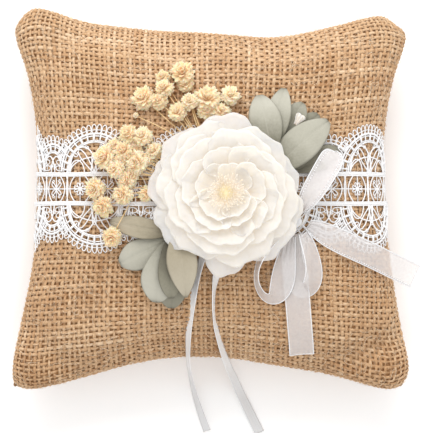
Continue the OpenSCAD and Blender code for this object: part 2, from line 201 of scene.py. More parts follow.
def many_tubes(paths, ups, half_w, half_h, sides):
    """Equal tubes swept along (tubes, points, 3) paths; returns points, quads and strip UVs."""
    count, n = paths.shape[:2]
    along = unit(np.gradient(paths, axis=-2))
    side = unit(np.cross(along, ups))
    up = np.cross(side, along)
    turn = 2 * np.pi * (np.arange(sides) + 0.5) / sides
    c, s = np.cos(turn), np.sin(turn)
    ring = (
        paths[:, :, None, :]
        + side[:, :, None, :] * (half_w[:, :, None] * c)[..., None]
        + up[:, :, None, :] * (half_h[:, :, None] * s)[..., None]
    )
    one = grid_faces(n, sides, wrap=True)[:, ::-1]
    quads = (one[None] + (np.arange(count) * n * sides)[:, None, None]).reshape(-1, 4)
    local = quads % (n * sides)
    row, col = local // sides, local % sides
    wrapped = (col == 0) & (np.roll(col, 1, axis=1).max(axis=1, keepdims=True) == sides - 1)
    around = (np.where(wrapped, sides, col) + 0.5) / (sides + 1)
    tube = quads // (n * sides)
    uv = np.stack([row / (n - 1), (tube + around) / count], -1)
    return ring.reshape(-1, 3), quads, uv


class Cords:
    """Many round cords of different lengths gathered into one mesh."""

    def __init__(self, sides=6):
        self.sides = sides
        self.verts, self.quads, self.caps, self.values = [], [], [], []
        self.count = 0

    def add(self, path, radius, up=None, flat=1.0, closed=False, value=0.0):
        path = np.asarray(path, float)
        n = len(path)
        radius = np.broadcast_to(np.asarray(radius, float), (n,))
        if closed:
            along = unit(np.roll(path, -1, 0) - np.roll(path, 1, 0))
        else:
            along = unit(np.gradient(path, axis=0))
        if up is None:
            up = np.tile([0.0, 0.0, 1.0], (n, 1))
            steep = np.abs(along[:, 2]) > 0.9
            up[steep] = [1.0, 0.0, 0.0]
        side = unit(np.cross(along, up))
        rise = np.cross(side, along)
        turn = 2 * np.pi * (np.arange(self.sides) + 0.5) / self.sides
        ring = (
            path[:, None, :]
            + side[:, None, :] * (radius[:, None] * np.cos(turn))[..., None]
            + rise[:, None, :] * (radius[:, None] * flat * np.sin(turn))[..., None]
        )
        quads = grid_faces(n + (1 if closed else 0), self.sides, wrap=True)[:, ::-1]
        if closed:
            quads = quads % (n * self.sides)
        self.quads.append(quads + self.count)
        if not closed:
            first = self.count + np.arange(self.sides)
            last = self.count + (n - 1) * self.sides + np.arange(self.sides)[::-1]
            self.caps += [first, last]
        self.verts.append(ring.reshape(-1, 3))
        self.values.append(np.full(n * self.sides, value))
        self.count += n * self.sides

    def mesh(self):
        faces = [np.concatenate(self.quads)]
        if self.caps:
            faces.append(np.array(self.caps))
        return make_mesh(np.concatenate(self.verts), faces, values={"tone": np.concatenate(self.values)})


def thick_patch(points, thickness):
    """A closed thin sheet round a grid of points: vertices and quads."""
    rows, columns = points.shape[:2]
    up = unit(np.cross(np.gradient(points, axis=1), np.gradient(points, axis=0)))
    top = points + up * thickness / 2
    low = points - up * thickness / 2
    size = rows * columns
    quads = grid_faces(rows, columns)
    ids = np.arange(size).reshape(rows, columns)
    rim = np.concatenate([ids[0, :], ids[1:, -1], ids[-1, -2::-1], ids[-2:0:-1, 0]])
    following = np.roll(rim, -1)
    walls = np.stack([rim, following, following + size, rim + size], 1)
    return (
        np.concatenate([top.reshape(-1, 3), low.reshape(-1, 3)]),
        np.concatenate([quads, quads[:, ::-1] + size, walls[:, ::-1]]),
    )


class Petals:
    """Thin sheets gathered into one mesh; reach tells how far out on its sheet a point lies."""

    def __init__(self):
        self.verts, self.quads, self.reach = [], [], []
        self.count = 0

    def add(self, grid, thickness, reach):
        verts, quads = thick_patch(grid, thickness)
        self.verts.append(verts)
        self.quads.append(quads + self.count)
        self.reach.append(np.tile(np.broadcast_to(reach, grid.shape[:2]).ravel(), 2))
        self.count += len(verts)

    def mesh(self):
        verts, quads = np.concatenate(self.verts) * MM, np.concatenate(self.quads)
        return make_mesh(verts, [quads], values={"reach": np.concatenate(self.reach)})


# ---------- materials ----------


class Nodes:
    """A Principled material and short ways to add nodes to it."""

    def __init__(self, name, rough=0.8, sheen=0.0, specular=0.5):
        self.mat = bpy.data.materials.new(name)
        self.mat.use_nodes = True
        self.tree = self.mat.node_tree
        self.shader = self.tree.nodes["Principled BSDF"]
        self.put("Roughness", rough)
        self.put("Sheen Weight", sheen)
        self.put("Specular IOR Level", specular)
        self.coords = self.tree.nodes.new("ShaderNodeTexCoord")
        self.place = self.coords.outputs["Object"]

    def put(self, socket, value):
        self.shader.inputs[socket].default_value = value

    def glow(self, colour, strength):
        self.put("Emission Color", (*colour, 1))
        self.put("Emission Strength", strength)

    def link(self, a, b):
        self.tree.links.new(a, b)

    def noise(self, scale, detail=2.0, distortion=0.0, where=None):
        node = self.tree.nodes.new("ShaderNodeTexNoise")
        node.inputs["Scale"].default_value = scale
        node.inputs["Detail"].default_value = detail
        node.inputs["Distortion"].default_value = distortion
        self.link(where or self.place, node.inputs["Vector"])
        return node.outputs["Fac"]

    def value(self, name):
        node = self.tree.nodes.new("ShaderNodeAttribute")
        node.attribute_name = name
        return node.outputs["Fac"]

    def math(self, kind, a, b=0.0):
        node = self.tree.nodes.new("ShaderNodeMath")
        node.operation = kind
        for socket, x in zip(node.inputs, (a, b)):
            if isinstance(x, (int, float)):
                socket.default_value = x
            else:
                self.link(x, socket)
        return node.outputs[0]

    def total(self, *terms):
        """The sum of some values, each times its share."""
        out = None
        for value, share in terms:
            value = value if share == 1 else self.math("MULTIPLY", value, share)
            out = value if out is None else self.math("ADD", out, value)
        return out

    def ramp(self, fac, *stops):
        """Colours along a value: each stop is a place and a linear colour."""
        node = self.tree.nodes.new("ShaderNodeValToRGB")
        ramp = node.color_ramp
        while len(ramp.elements) < len(stops):
            ramp.elements.new(0.5)
        for element, (place, colour) in zip(ramp.elements, stops):
            element.position = place
            element.color = (*colour, 1)
        self.link(fac, node.inputs["Fac"])
        return node.outputs["Color"]

    def mix(self, fac, a, b, kind="MIX"):
        node = self.tree.nodes.new("ShaderNodeMix")
        node.data_type = "RGBA"
        node.blend_type = kind
        for socket, x in zip((node.inputs[0], node.inputs[6], node.inputs[7]), (fac, a, b)):
            if isinstance(x, (int, float)):
                socket.default_value = x
            elif isinstance(x, tuple):
                socket.default_value = (*x, 1)
            else:
                self.link(x, socket)
        return node.outputs[2]

    def colour(self, source):
        self.link(source, self.shader.inputs["Base Color"])

    def bump(self, height, strength, distance):
        node = self.tree.nodes.new("ShaderNodeBump")
        node.inputs["Strength"].default_value = strength
        node.inputs["Distance"].default_value = distance
        self.link(height, node.inputs["Height"])
        self.link(node.outputs["Normal"], self.shader.inputs["Normal"])


def linear(r, g, b):
    """Linear colour from 8-bit sRGB."""
    return tuple(
        c / 12.92 if c <= 0.04045 else ((c + 0.055) / 1.055) ** 2.4 for c in (r / 255, g / 255, b / 255)
    )


def grained(name, dark, light, grain, bump, **finish):
    """A material between two 8-bit colours.

    grain is a noise's scale, detail and distortion, or "tone" for each strand's own tone; bump is
    the noise of the relief, with its strength and its depth in metres."""
    m = Nodes(name, **finish)
    if grain == "tone":
        m.colour(m.ramp(m.value("tone"), (0.1, linear(*dark)), (0.9, linear(*light))))
    else:
        m.colour(m.ramp(m.noise(*grain), (0.3, linear(*dark)), (0.7, linear(*light))))
    *noise, strength, depth = bump
    m.bump(m.noise(*noise), strength, depth)
    return m


# ---------- camera, light and floor ----------


def make_camera():
    """A long lens straight above the pillow, as far off as it takes to see the given width."""
    middle = Vector((0.0028, -0.0089, 0.04))
    lens, sensor, seen = 400, 36, 0.219
    data = bpy.data.cameras.new("camera")
    data.lens = lens
    data.clip_end = 20
    cam = new_object("camera", data)
    cam.location = middle + Vector((0, 0, seen * lens / sensor))
    bpy.context.scene.camera = cam


def area_light(name, place, size, watts):
    data = bpy.data.lights.new(name, "AREA")
    data.shape = "RECTANGLE"
    data.size, data.size_y = size
    data.energy = watts
    lamp = new_object(name, data)
    lamp.location = place
    target = Vector((0, 0, 0.03))
    lamp.rotation_euler = (target - Vector(place)).to_track_quat("-Z", "Y").to_euler()


def make_stage():
    world = bpy.data.worlds.new("world")
    world.use_nodes = True
    background = world.node_tree.nodes["Background"]
    background.inputs["Color"].default_value = (1, 1, 1, 1)
    background.inputs["Strength"].default_value = 0.86
    bpy.context.scene.world = world
    area_light("key", (-0.1, 0.85, 0.7), (0.9, 0.7), 8.5)
    area_light("front", (0.3, -0.5, 1.0), (0.9, 0.9), 1.8)
    side = 3.0
    corners = [(-side, -side, 0), (side, -side, 0), (side, side, 0), (-side, side, 0)]
    mesh = make_mesh(corners, [[(0, 1, 2, 3)]])
    white = Nodes("floor_white", rough=0.9, specular=0.1)
    white.put("Base Color", (0.97, 0.97, 0.97, 1))
    white.glow((1, 1, 1), 0.12)
    mesh.materials.append(white.mat)
    new_object("floor", mesh)
    bpy.context.scene.view_settings.view_transform = "Standard"


make_camera()
make_stage()

# ---------- the ring ribbons: two cords ----------

# x, y, z and roll of each route point, as in the part's source
LEFT_ROUTE = [
    (1, -19, 64, 10), (-4, -29, 63, 45), (-7, -39, 60.2, 50), (-9, -50, 56.8, 50),
    (-10.5, -60, 52.4, 52), (-11.3, -68, 48, 58), (-11.6, -75, 42.8, 64), (-11.6, -81, 35, 68),
    (-11.4, -85, 26, 70), (-10.8, -88.5, 16, 70), (-10, -93, 8, 68), (-8.4, -100, 3.6, 62),
    (-5.6, -109, 2.9, 52), (-2, -119, 2.7, 42),
]
RIGHT_ROUTE = [
    (5, -19, 64, -10), (4.5, -28, 62.6, -30), (3, -37, 61.2, -45), (1.6, -46, 59.2, -72),
    (1.4, -55, 56, -76), (2.4, -64, 51, -66), (4.4, -72, 45.6, -60), (6.6, -79, 38.4, -54),
    (8.4, -84, 29, -50), (10, -88, 19, -46), (12, -92.5, 10.4, -40), (15, -99.5, 4.2, -32),
    (19.6, -109, 2, -22), (25, -120, 1.4, -12),
]


def ribbon_frame(path, roll):
    """The ways across and out of the face of a flat ribbon; roll 0 lays it level."""
    along = unit(np.gradient(path, axis=0))
    level = unit(np.cross([0, 0, 1.0], along))
    up = np.cross(along, level)
    roll = np.radians(roll)[:, None]
    across = level * np.cos(roll) + up * np.sin(roll)
    return across, np.cross(along, across)


def flat_ribbon(path, across, face, width, thick, lift):
    """A closed thin ribbon: points and quads. lift raises each point along the face's normal."""
    n, columns = lift.shape
    s = np.linspace(-1, 1, columns)
    width = np.broadcast_to(np.asarray(width, float), (n,))
    middle = path[:, None, :] + across[:, None, :] * (width[:, None] / 2 * s)[..., None]
    top = middle + face[:, None, :] * (lift + thick / 2)[..., None]
    low = middle + face[:, None, :] * (lift - thick / 2)[..., None]
    loop = np.concatenate([top, low[:, ::-1]], axis=1)
    around = 2 * columns
    j = np.arange(columns - 1)
    start = np.stack([j, j + 1, around - 2 - j, around - 1 - j], 1)
    end = start[:, ::-1] + (n - 1) * around
    return loop.reshape(-1, 3), np.concatenate([grid_faces(n, around, wrap=True), start, end])


def satin_material():
    m = Nodes("satin_white", rough=0.32, sheen=0.2, specular=0.5)
    # painted shade: the loose ends are painted a little greyer than the tied end, for the shade where they
    # hang away from the light
    tone = m.total((m.value("run"), 0.8), (m.noise(2600, 2), 0.25))
    m.colour(m.ramp(tone, (0.1, linear(252, 252, 252)), (0.95, linear(221, 221, 222))))
    m.put("Anisotropic", 0.4)
    m.bump(m.value("across"), 0.35, 0.0002)
    return m.mat


def ring_ribbon(name, route, node, mat):
    rows = spline(route, 8)
    path = rows[:, :3] * MM
    across, face = ribbon_frame(path, rows[:, 3])
    s = np.linspace(-1, 1, 9)
    ribbed = 0.06 * MM * np.cos(s * np.pi * 4)
    lift = np.tile(ribbed - 0.25 * MM * (1 - s * s), (len(path), 1))
    verts, quads = flat_ribbon(path, across, face, SATIN_W * MM, SATIN_T * MM, lift)
    ribs = np.tile(np.concatenate([s, s[::-1]]), len(path))
    # run goes from the tied end to the loose end; the satin's colour is painted greyer along it, as shade
    run = np.repeat(np.linspace(0, 1, len(path)), 2 * len(s))
    values = {"across": 0.5 + 0.5 * np.cos(ribs * 14), "run": run}
    obj = piece(name, make_mesh(verts, [quads], values=values), mat, (node,))


satin = satin_material()
ring_ribbon("ring_ribbon_left_satin", LEFT_ROUTE, "ring_ribbon_left", satin)
ring_ribbon("ring_ribbon_right_satin", RIGHT_ROUTE, "ring_ribbon_right", satin)

# ---------- the pillow's surface ----------

CELLS = 64
# The cloth simulation: run at ten times the size, on a bag that starts a little small; the cap is
# how far, in millimetres, it may move a point
SIM_SCALE, SIM_FRAMES = 10, 25
START_SIZE = 0.985
PRESSURE = 0.3
MOVE_CAP = 4


def arc_shares(a, heights, samples=181):
    """For each height b of a half ellipse, its sine at even steps of arc length."""
    turn = np.linspace(-np.pi / 2, np.pi / 2, samples)
    even = np.linspace(-1, 1, samples)
    table = []
    for b in heights:
        x, z = a * np.sin(turn), b * np.cos(turn)
        run = np.concatenate([[0], np.cumsum(np.hypot(np.diff(x), np.diff(z)))])
        table.append(np.interp(even, 2 * run / run[-1] - 1, np.sin(turn)))
    return even, np.array(table)


def cloth_grid():
    """s and t, from -1 to 1, of the cloth's square grid of points."""
    s = np.linspace(-1, 1, CELLS + 1)
    return np.meshgrid(s, s, indexing="ij")


def even_cloth(rise):
    """u and v of a grid of cloth points that are evenly spaced over the bulged panel."""
    s, t = cloth_grid()
    heights = np.linspace(0, rise, 24)
    even, wide = arc_shares(PILLOW_W / 2 - WAIST_X, heights)
    _, tall = arc_shares(PILLOW_H / 2 - WAIST_Y, heights)

    def look_up(table, place, height):
        row = np.clip(height / rise * (len(heights) - 1), 0, len(heights) - 1.001)
        low = row.astype(int)
        col = (place + 1) / 2 * (len(even) - 1)
        left = np.minimum(col.astype(int), len(even) - 2)
        f, g = row - low, col - left
        top = table[low, left] * (1 - g) + table[low, left + 1] * g
        bottom = table[low + 1, left] * (1 - g) + table[low + 1, left + 1] * g
        return top * (1 - f) + bottom * f

    u, v = s.copy(), t.copy()
    for _ in range(6):
        new_u = look_up(wide, s, rise * np.sqrt(np.maximum(0, 1 - v * v)))
        v = look_up(tall, t, rise * np.sqrt(np.maximum(0, 1 - u * u)))
        u = new_u
    return u, v


def analytic_panels():
    """The front and the back panel before the simulation, and where their shared rim is."""
    front, back = (
        np.stack([*plan(*even_cloth(rise)), SEAM_Z + sign * rise * bulge(*even_cloth(rise))], -1)
        for rise, sign in ((CROWN, 1), (BELLY, -1))
    )
    rim = np.zeros((CELLS + 1, CELLS + 1), bool)
    rim[[0, -1]] = rim[:, [0, -1]] = True
    back[rim] = front[rim]
    return front, back, rim


def bag_mesh(points, rim):
    """A closed bag of two panels that share their rim: the front's points, then the back's own."""
    n = CELLS + 1
    ids = np.arange(n * n).reshape(n, n)
    back_ids = ids.copy()
    back_ids[~rim] = n * n + np.arange((~rim).sum())
    quads = grid_faces(n, n)
    return make_mesh(points, [quads[:, ::-1], back_ids.ravel()[quads]])


def inflate(front, back, rim):
    """Both panels as one cloth bag under pressure; returns how far each point moved."""
    scale = MM * SIM_SCALE
    start = np.concatenate([front.reshape(-1, 3), back[~rim]]) * scale
    middle = start.mean(0)
    mesh = bag_mesh(middle + (start - middle) * START_SIZE, rim)
    bag = new_object("bag", mesh)
    settings = bag.modifiers.new("Cloth", "CLOTH").settings
    settings.quality = 6
    settings.mass = 0.25
    settings.air_damping = 4
    settings.tension_stiffness = settings.compression_stiffness = 60
    settings.shear_stiffness = 12
    settings.bending_stiffness = 8
    settings.use_pressure = True
    settings.uniform_pressure_force = PRESSURE
    settings.effector_weights.gravity = 0
    scene = bpy.context.scene
    for step in range(1, SIM_FRAMES + 1):
        scene.frame_set(step)
    moved = np.empty(len(start) * 3, np.float32)
    solved = bag.evaluated_get(bpy.context.evaluated_depsgraph_get())
    solved.data.vertices.foreach_get("co", moved)
    scene.frame_set(1)
    bpy.data.objects.remove(bag)
    bpy.data.meshes.remove(mesh)
    shift = moved.reshape(-1, 3) / scale - start / scale
    shift_front = shift[: rim.size].reshape(front.shape)
    shift_back = shift_front.copy()
    shift_back[~rim] = shift[rim.size :]
    return shift_front, shift_back


def noise_1d(count, length, steps, amount):
    """Smooth random wobble for each of count threads, sampled at length places."""
    knots = rng.normal(0, amount, (count, steps + 3))
    place = np.linspace(0, steps, length)
    low = np.minimum(place.astype(int), steps)
    f = place - low
    f = f * f * (3 - 2 * f)
    return knots[:, low] * (1 - f) + knots[:, low + 1] * f


def sample(grid, s, t):
    """Bicubic value of a square grid at s and t from -1 to 1."""
    n = grid.shape[0] - 1
    x = np.clip((s + 1) / 2 * n, 0, n - 1e-6)
    y = np.clip((t + 1) / 2 * n, 0, n - 1e-6)
    i, j = x.astype(int), y.astype(int)
    fx, fy = x - i, y - j

    def weights(f):
        return (
            -0.5 * f + f * f - 0.5 * f**3,
            1 - 2.5 * f * f + 1.5 * f**3,
            0.5 * f + 2 * f * f - 1.5 * f**3,
            -0.5 * f * f + 0.5 * f**3,
        )

    out = 0
    for a, wx in enumerate(weights(fx)):
        row = np.clip(i + a - 1, 0, n)
        for b, wy in enumerate(weights(fy)):
            col = np.clip(j + b - 1, 0, n)
            out = out + grid[row, col] * (wx * wy)[..., None]
    return out


def settle(panel, shift):
    """The panel after the simulation: no point moves further than the cap."""
    swell = plain_bulge(*cloth_grid())
    middle = shift[CELLS // 2, CELLS // 2, 2]
    shift = shift - swell[..., None] * [0, 0, middle]
    shift = shift * (0.25 + 0.75 * swell)[..., None]
    far = np.linalg.norm(shift, axis=-1, keepdims=True)
    return panel + shift * MOVE_CAP / (MOVE_CAP + far)


# Where each stuffed corner is nipped in: corner, distance in from it, slant and depth in mm
NIPS = (
    (1, -1, 0.23, 0.15, 4.6), (-1, 1, 0.24, 0.0, 2.4), (-1, -1, 0.22, 0.0, 2.6), (1, 1, 0.22, 0.0, 1.8)
)


def nipped_corners(s, t):
    """A fold across each stuffed corner, with a low swell beyond it."""
    lift = np.zeros_like(s)
    for cs, ct, far, slant, depth in NIPS:
        a, b = 1 - s * cs, 1 - t * ct
        off = (a + b) / 2 - far - slant * (a - b)
        span = np.exp(-(((a - b) / 0.34) ** 2))
        lift -= depth * span * np.exp(-((off / 0.05) ** 2))
        lift += 0.22 * depth * span * np.exp(-(((off - 0.13) / 0.08) ** 2))
    return lift


def rumple(panel, sign):
    """Soft dents of the stuffing and short puckers along the seam, in millimetres."""
    s, t = cloth_grid()
    free = np.maximum(np.abs(s), np.abs(t))
    dents, puckers = np.zeros_like(s), np.zeros_like(s)
    for _ in range(26):
        turn, wave = rng.uniform(0, 2 * np.pi), rng.uniform(4, 11)
        phase = rng.uniform(0, 2 * np.pi)
        dents += np.sin((s * np.cos(turn) + t * np.sin(turn)) * wave + phase) * 0.16
    for along, across in ((s, t), (t, s)):
        edge = np.exp(-(1 - np.abs(across)) * 9)
        for side in (-1, 1):
            on = (across * side > 0) * edge
            for _ in range(5):
                wave, phase = rng.uniform(9, 26), rng.uniform(0, 2 * np.pi)
                puckers += on * np.sin(along * wave + phase) * 0.22
    lift = dents * smooth_step(0, 0.25, 1 - free) * smooth_step(0.3, 0.75, free)
    lift += puckers * (1 - 0.3 * np.exp(-(1 - free) * 9)) + nipped_corners(s, t)
    lift *= smooth_step(0.0, 0.06, 1 - free)
    return panel + normals_of(panel, sign) * lift[..., None]


def normals_of(panel, sign):
    return unit(np.cross(np.gradient(panel, axis=0), np.gradient(panel, axis=1))) * sign


# The lowest that the back's surface may lie, in millimetres
TABLE_FLOOR = 0.9

front_panel, back_panel, rim = analytic_panels()
front_shift, back_shift = inflate(front_panel, back_panel, rim)
front_panel = settle(front_panel, front_shift)
back_panel = settle(back_panel, back_shift)
front_panel = rumple(front_panel, 1)
back_panel = rumple(back_panel, -1)
back_panel[rim] = front_panel[rim]
back_panel[..., 2] = np.maximum(back_panel[..., 2], TABLE_FLOOR)
front_normal = normals_of(front_panel, 1)
back_normal = normals_of(back_panel, -1)

# ---------- burlap: every thread of the plain weave ----------

# How many threads lie side by side, how far below the cover's surface the weave has its middle, and
# half the width and height of a thread
THREADS_X, THREADS_Y = 81, 79
COVER_DEPTH = 0.75
THREAD_W, THREAD_H = 0.88, 0.42
# How far a thread goes over and under the others, and how much deeper it lies at the seam
WAVE = 0.4
SEAM_TUCK = 0.7


def burlap_threads(panel, normal, warp, per_pitch, sides):
    """All warp or all weft threads of one panel, going over and under one another."""
    count, crossed = (THREADS_X, THREADS_Y) if warp else (THREADS_Y, THREADS_X)
    half = (PILLOW_W if warp else PILLOW_H) / 2
    n = crossed * per_pitch + 1
    run = np.linspace(-1, 1, n)
    wobble = noise_1d(count, n, 14, 0.2) + rng.normal(0, 0.17, (count, 1))
    own = np.linspace(-1, 1, 2 * count + 1)[1::2][:, None]
    # the whole weave runs slightly askew, so neighbouring threads drift together
    for along, across, size in ((2.6, 1.9, 0.9), (4.7, -3.1, 0.6), (8.2, 5.0, 0.35)):
        wobble = wobble + size * np.sin(along * run + across * own + count)
    wobble *= smooth_step(0, 0.12, 1 - np.abs(run)) * smooth_step(0, 0.12, 1 - np.abs(own))
    own = own + wobble / half
    own = np.clip(own, -0.995, 0.995)
    run = np.tile(run, (count, 1))
    s, t = (own, run) if warp else (run, own)
    place = (run + 1) / 2 * crossed - 0.5
    over = np.cos(np.pi * (place + np.arange(count)[:, None])) * (1 if warp else -1)
    point = sample(panel, s, t)
    up = unit(sample(normal, s, t))
    tuck = smooth_step(0.982, 1.0, np.maximum(np.abs(s), np.abs(t)))
    point = point + up * (over * WAVE * (1 - tuck) - COVER_DEPTH - SEAM_TUCK * tuck)[..., None]
    slub = 1 + noise_1d(count, n, 34, 0.13) + rng.normal(0, 0.07, (count, 1))
    opened = 1 - 0.26 * smooth_step(0.5, 0.85, np.abs(s * t))
    width = THREAD_W * np.clip(slub, 0.62, 1.3) * opened
    height = THREAD_H * np.clip(slub, 0.8, 1.2)
    verts, quads, uv = many_tubes(point * MM, up, width * MM, height * MM, sides)
    verts[:, 2] = np.maximum(verts[:, 2], 0.02 * MM)
    tone = np.clip(0.5 + rng.normal(0, 0.09, (count, 1)) + noise_1d(count, n, 12, 0.12), 0, 1)
    tone = np.repeat(tone[..., None], sides, axis=2).ravel()
    # over tells how high the thread rides; the material paints shade where it dips under
    depth = np.repeat(over[..., None], sides, axis=2).ravel()
    return verts, quads, uv, {"tone": tone, "over": depth * 0.5 + 0.5}


def burlap_material():
    m = Nodes("burlap_jute", rough=0.85, sheen=0.12, specular=0.25)
    strip = m.tree.nodes.new("ShaderNodeMapping")
    strip.inputs["Scale"].default_value = (150, THREADS_X * 3.2, 1)
    m.link(m.coords.outputs["UV"], strip.inputs["Vector"])
    fibre = m.noise(1, 3, 0.3, strip.outputs["Vector"])
    # painted light: the jute is painted a little paler towards the top edge, where the light falls from
    # the top
    split = m.tree.nodes.new("ShaderNodeSeparateXYZ")
    m.link(m.place, split.inputs[0])
    patch = m.noise(28, 3)
    tone = m.total((m.value("tone"), 0.5), (fibre, 0.5), (patch, 0.14), (split.outputs["Y"], 0.45))
    jute = m.ramp(
        tone,
        (0.28, linear(160, 116, 77)),
        (0.48, linear(190, 150, 110)),
        (0.64, linear(207, 172, 134)),
        (0.86, linear(230, 204, 172)),
    )
    # painted shade: a thread is painted darker where it dips under the crossing threads
    under = m.ramp(m.value("over"), (0.0, (0.82, 0.77, 0.72)), (0.5, (1, 1, 1)))
    m.colour(m.mix(1.0, jute, under, "MULTIPLY"))
    m.bump(fibre, 0.7, 0.0003)
    return m.mat


def part_of(verts, quads, uv, values, share, of, per_tube):
    """One of several equal groups of tubes, its UV strips spread over the whole square again."""
    tubes = len(verts) // per_tube
    low, high = tubes * share // of, tubes * (share + 1) // of
    v0, v1 = low * per_tube, high * per_tube
    keep = (quads[:, 0] >= v0) & (quads[:, 0] < v1)
    return (
        verts[v0:v1],
        quads[keep] - v0,
        uv[keep] * [1, tubes / (high - low)] - [0, low / (high - low)],
        {k: x[v0:v1] for k, x in values.items()},
    )


burlap = burlap_material()
for side_name, panel, normal, per_pitch, sides, parts, node in (
    ("front", front_panel, front_normal, 3, 6, 2, "cover_front"),
    ("back", back_panel, back_normal, 2, 5, 1, "cover_back"),
):
    for warp in (True, False):
        cloth = burlap_threads(panel, normal, warp, per_pitch, sides)
        crossed = THREADS_Y if warp else THREADS_X
        per_tube = (crossed * per_pitch + 1) * sides
        for share in range(parts):
            verts, quads, uv, values = part_of(*cloth, share, parts, per_tube)
            name = f"burlap_{side_name}_{'warp' if warp else 'weft'}_{share + 1}"
            mesh = make_mesh(verts, [quads], uv, values)
            piece(name, mesh, burlap, (node,) if warp and share == 0 else ())


def loose_fibres(panel, normal, count):
    """Short bright jute fibres that stand off the threads."""
    half = np.array([PILLOW_W, PILLOW_H]) / 2
    middle = rng.uniform(-0.985, 0.985, (count, 1, 2))
    turn = rng.integers(0, 2, count) * np.pi / 2 + rng.normal(0, 0.3, count)
    length, bend = rng.uniform(2.0, 6.5, (count, 1)), rng.normal(0, 0.22, (count, 1))
    k = np.linspace(-0.5, 0.5, 5)[None]
    ahead = np.stack([np.cos(turn), np.sin(turn)], -1)[:, None]
    aside = np.stack([-np.sin(turn), np.cos(turn)], -1)[:, None]
    curve = (bend * (4 * k * k - 0.5))[..., None] * aside
    spots = middle + (k[..., None] * ahead + curve) * length[..., None] / half
    s, t = np.moveaxis(np.clip(spots, -0.99, 0.99), -1, 0)
    lift = rng.uniform(-0.35, 0.25, (count, 1)) + rng.uniform(0, 1, (count, 1)) * np.abs(k)
    up = unit(sample(normal, s, t))
    place = sample(panel, s, t) + up * lift[..., None]
    place[..., 2] = np.maximum(place[..., 2], 0.1)
    thick = np.broadcast_to(rng.uniform(0.05, 0.08, (count, 1)), s.shape) * MM
    verts, quads, _ = many_tubes(place * MM, up, thick, thick, 3)
    return verts, quads, np.repeat(rng.uniform(size=count), 5 * 3)


fibre_mat = grained(
    "jute_fibre", (206, 170, 130), (250, 232, 204), "tone", (4000, 2, 0.2, 0.0001),
    rough=0.7, sheen=0.1, specular=0.3,
).mat
for side_name, panel, normal, count in (
    ("front", front_panel, front_normal, 6000), ("back", back_panel, back_normal, 3000)
):
    verts, quads, tone = loose_fibres(panel, normal, count)
    mesh = make_mesh(verts, [quads], values={"tone": tone})
    piece(f"burlap_{side_name}_fibres", mesh, fibre_mat)

# ---------- the lining and the filling behind the open weave ----------


def inner_bag(depth, rim_inset):
    """A closed bag that follows the cover at a depth below it."""
    front = front_panel - front_normal * depth
    back = back_panel - back_normal * depth
    front[rim] = front_panel[rim] - unit(front_panel[rim] * [1, 1, 0]) * rim_inset
    return bag_mesh(np.concatenate([front.reshape(-1, 3), back[~rim]]) * MM, rim)


lining_mat = grained(
    "lining_cotton", (178, 130, 84), (204, 156, 108), (900, 3), (2200, 2, 0, 0.4, 0.0002),
    rough=0.9, specular=0.2,
).mat
filling_mat = grained(
    "polyester_fibre", (232, 232, 230), (250, 250, 249), (400, 4, 1), (500, 4, 1, 0.8, 0.001),
    rough=0.95, specular=0.1,
).mat

LINING_DEPTH = COVER_DEPTH + THREAD_H + WAVE + 0.1
lining_stands_for = ("lining_front", "lining_back")
lining = piece("lining_bag", inner_bag(LINING_DEPTH, 2.4), lining_mat, lining_stands_for)
filling = piece("filling_wad", inner_bag(LINING_DEPTH + 1.5, 8), filling_mat, ("fibre_fill",))

# ---------- lying on the pillow ----------

front_tree = BVHTree.FromPolygons(
    [tuple(p) for p in front_panel.reshape(-1, 3)],
    [tuple(int(i) for i in f) for f in grid_faces(CELLS + 1, CELLS + 1)[:, ::-1]],
)


def smooth_front(x, y):
    """Height of the front's smooth shape over a point of the plan, in millimetres."""
    v = np.clip(y / edge_y(np.clip(x / (PILLOW_W / 2), -1, 1)), -1, 1)
    u = np.clip(x / edge_x(v), -1, 1)
    return SEAM_Z + CROWN * plain_bulge(u, v)


def on_front(x, y, lift):
    """Points a lift above the cover, and the cover's normals there, in millimetres."""
    x, y = np.asarray(x, float), np.asarray(y, float)
    lift = np.broadcast_to(lift, x.shape)
    z = smooth_front(x, y)
    places, ups = [], []
    for p in zip(x, y, z):
        place, up, _, _ = front_tree.find_nearest(p)
        if up.z < 0:
            up = -up
        places.append(place)
        ups.append(up)
    places, ups = np.array(places), np.array(ups)
    return places + ups * lift[:, None], ups


def smoothed(rows, width):
    """Rows of numbers averaged along their length; both ends stay where they are."""
    kernel = np.hanning(width + 2)[1:-1]
    padded = np.concatenate([rows[:1].repeat(width // 2, 0), rows, rows[-1:].repeat(width // 2, 0)])
    return np.stack([np.convolve(c, kernel / kernel.sum(), "valid") for c in padded.T], 1)


def lift_clear(grid, gap, reach, trees=(front_tree,)):
    """How far each row of a grid of points must rise to lie a gap above these surfaces."""
    need = np.zeros(len(grid))
    for i, row in enumerate(grid):
        for x, y, z in row:
            for tree in trees:
                hit = tree.ray_cast((x, y, 150), (0, 0, -1))[0]
                if hit is not None:
                    need[i] = max(need[i], hit.z + gap - z)
    wide = np.array([need[max(0, i - reach) : i + reach + 1].max() for i in range(len(need))])
    return smoothed(wide[:, None], reach + 3)[:, 0]


# ---------- the guipure lace band ----------

# The band's middle line and width, in millimetres like all that follow
LACE_Y, LACE_W = 5, 65
# From one wide scallop to the next, and the middle of one of them
LACE_REPEAT = 47
SCALLOP_X = -58.5
# How far the two rails run from the middle line, and the spacing and place of the stars between
RAIL = 7.4
STAR, STAR_X = 14, -65.7
# Up to here the band lies level enough to be laid straight down
STRAIGHT_X = 70
# How far a scallop's two arcs lie inside its outer edge
OUTER_ARC, INNER_ARC = 4.6, 8.8


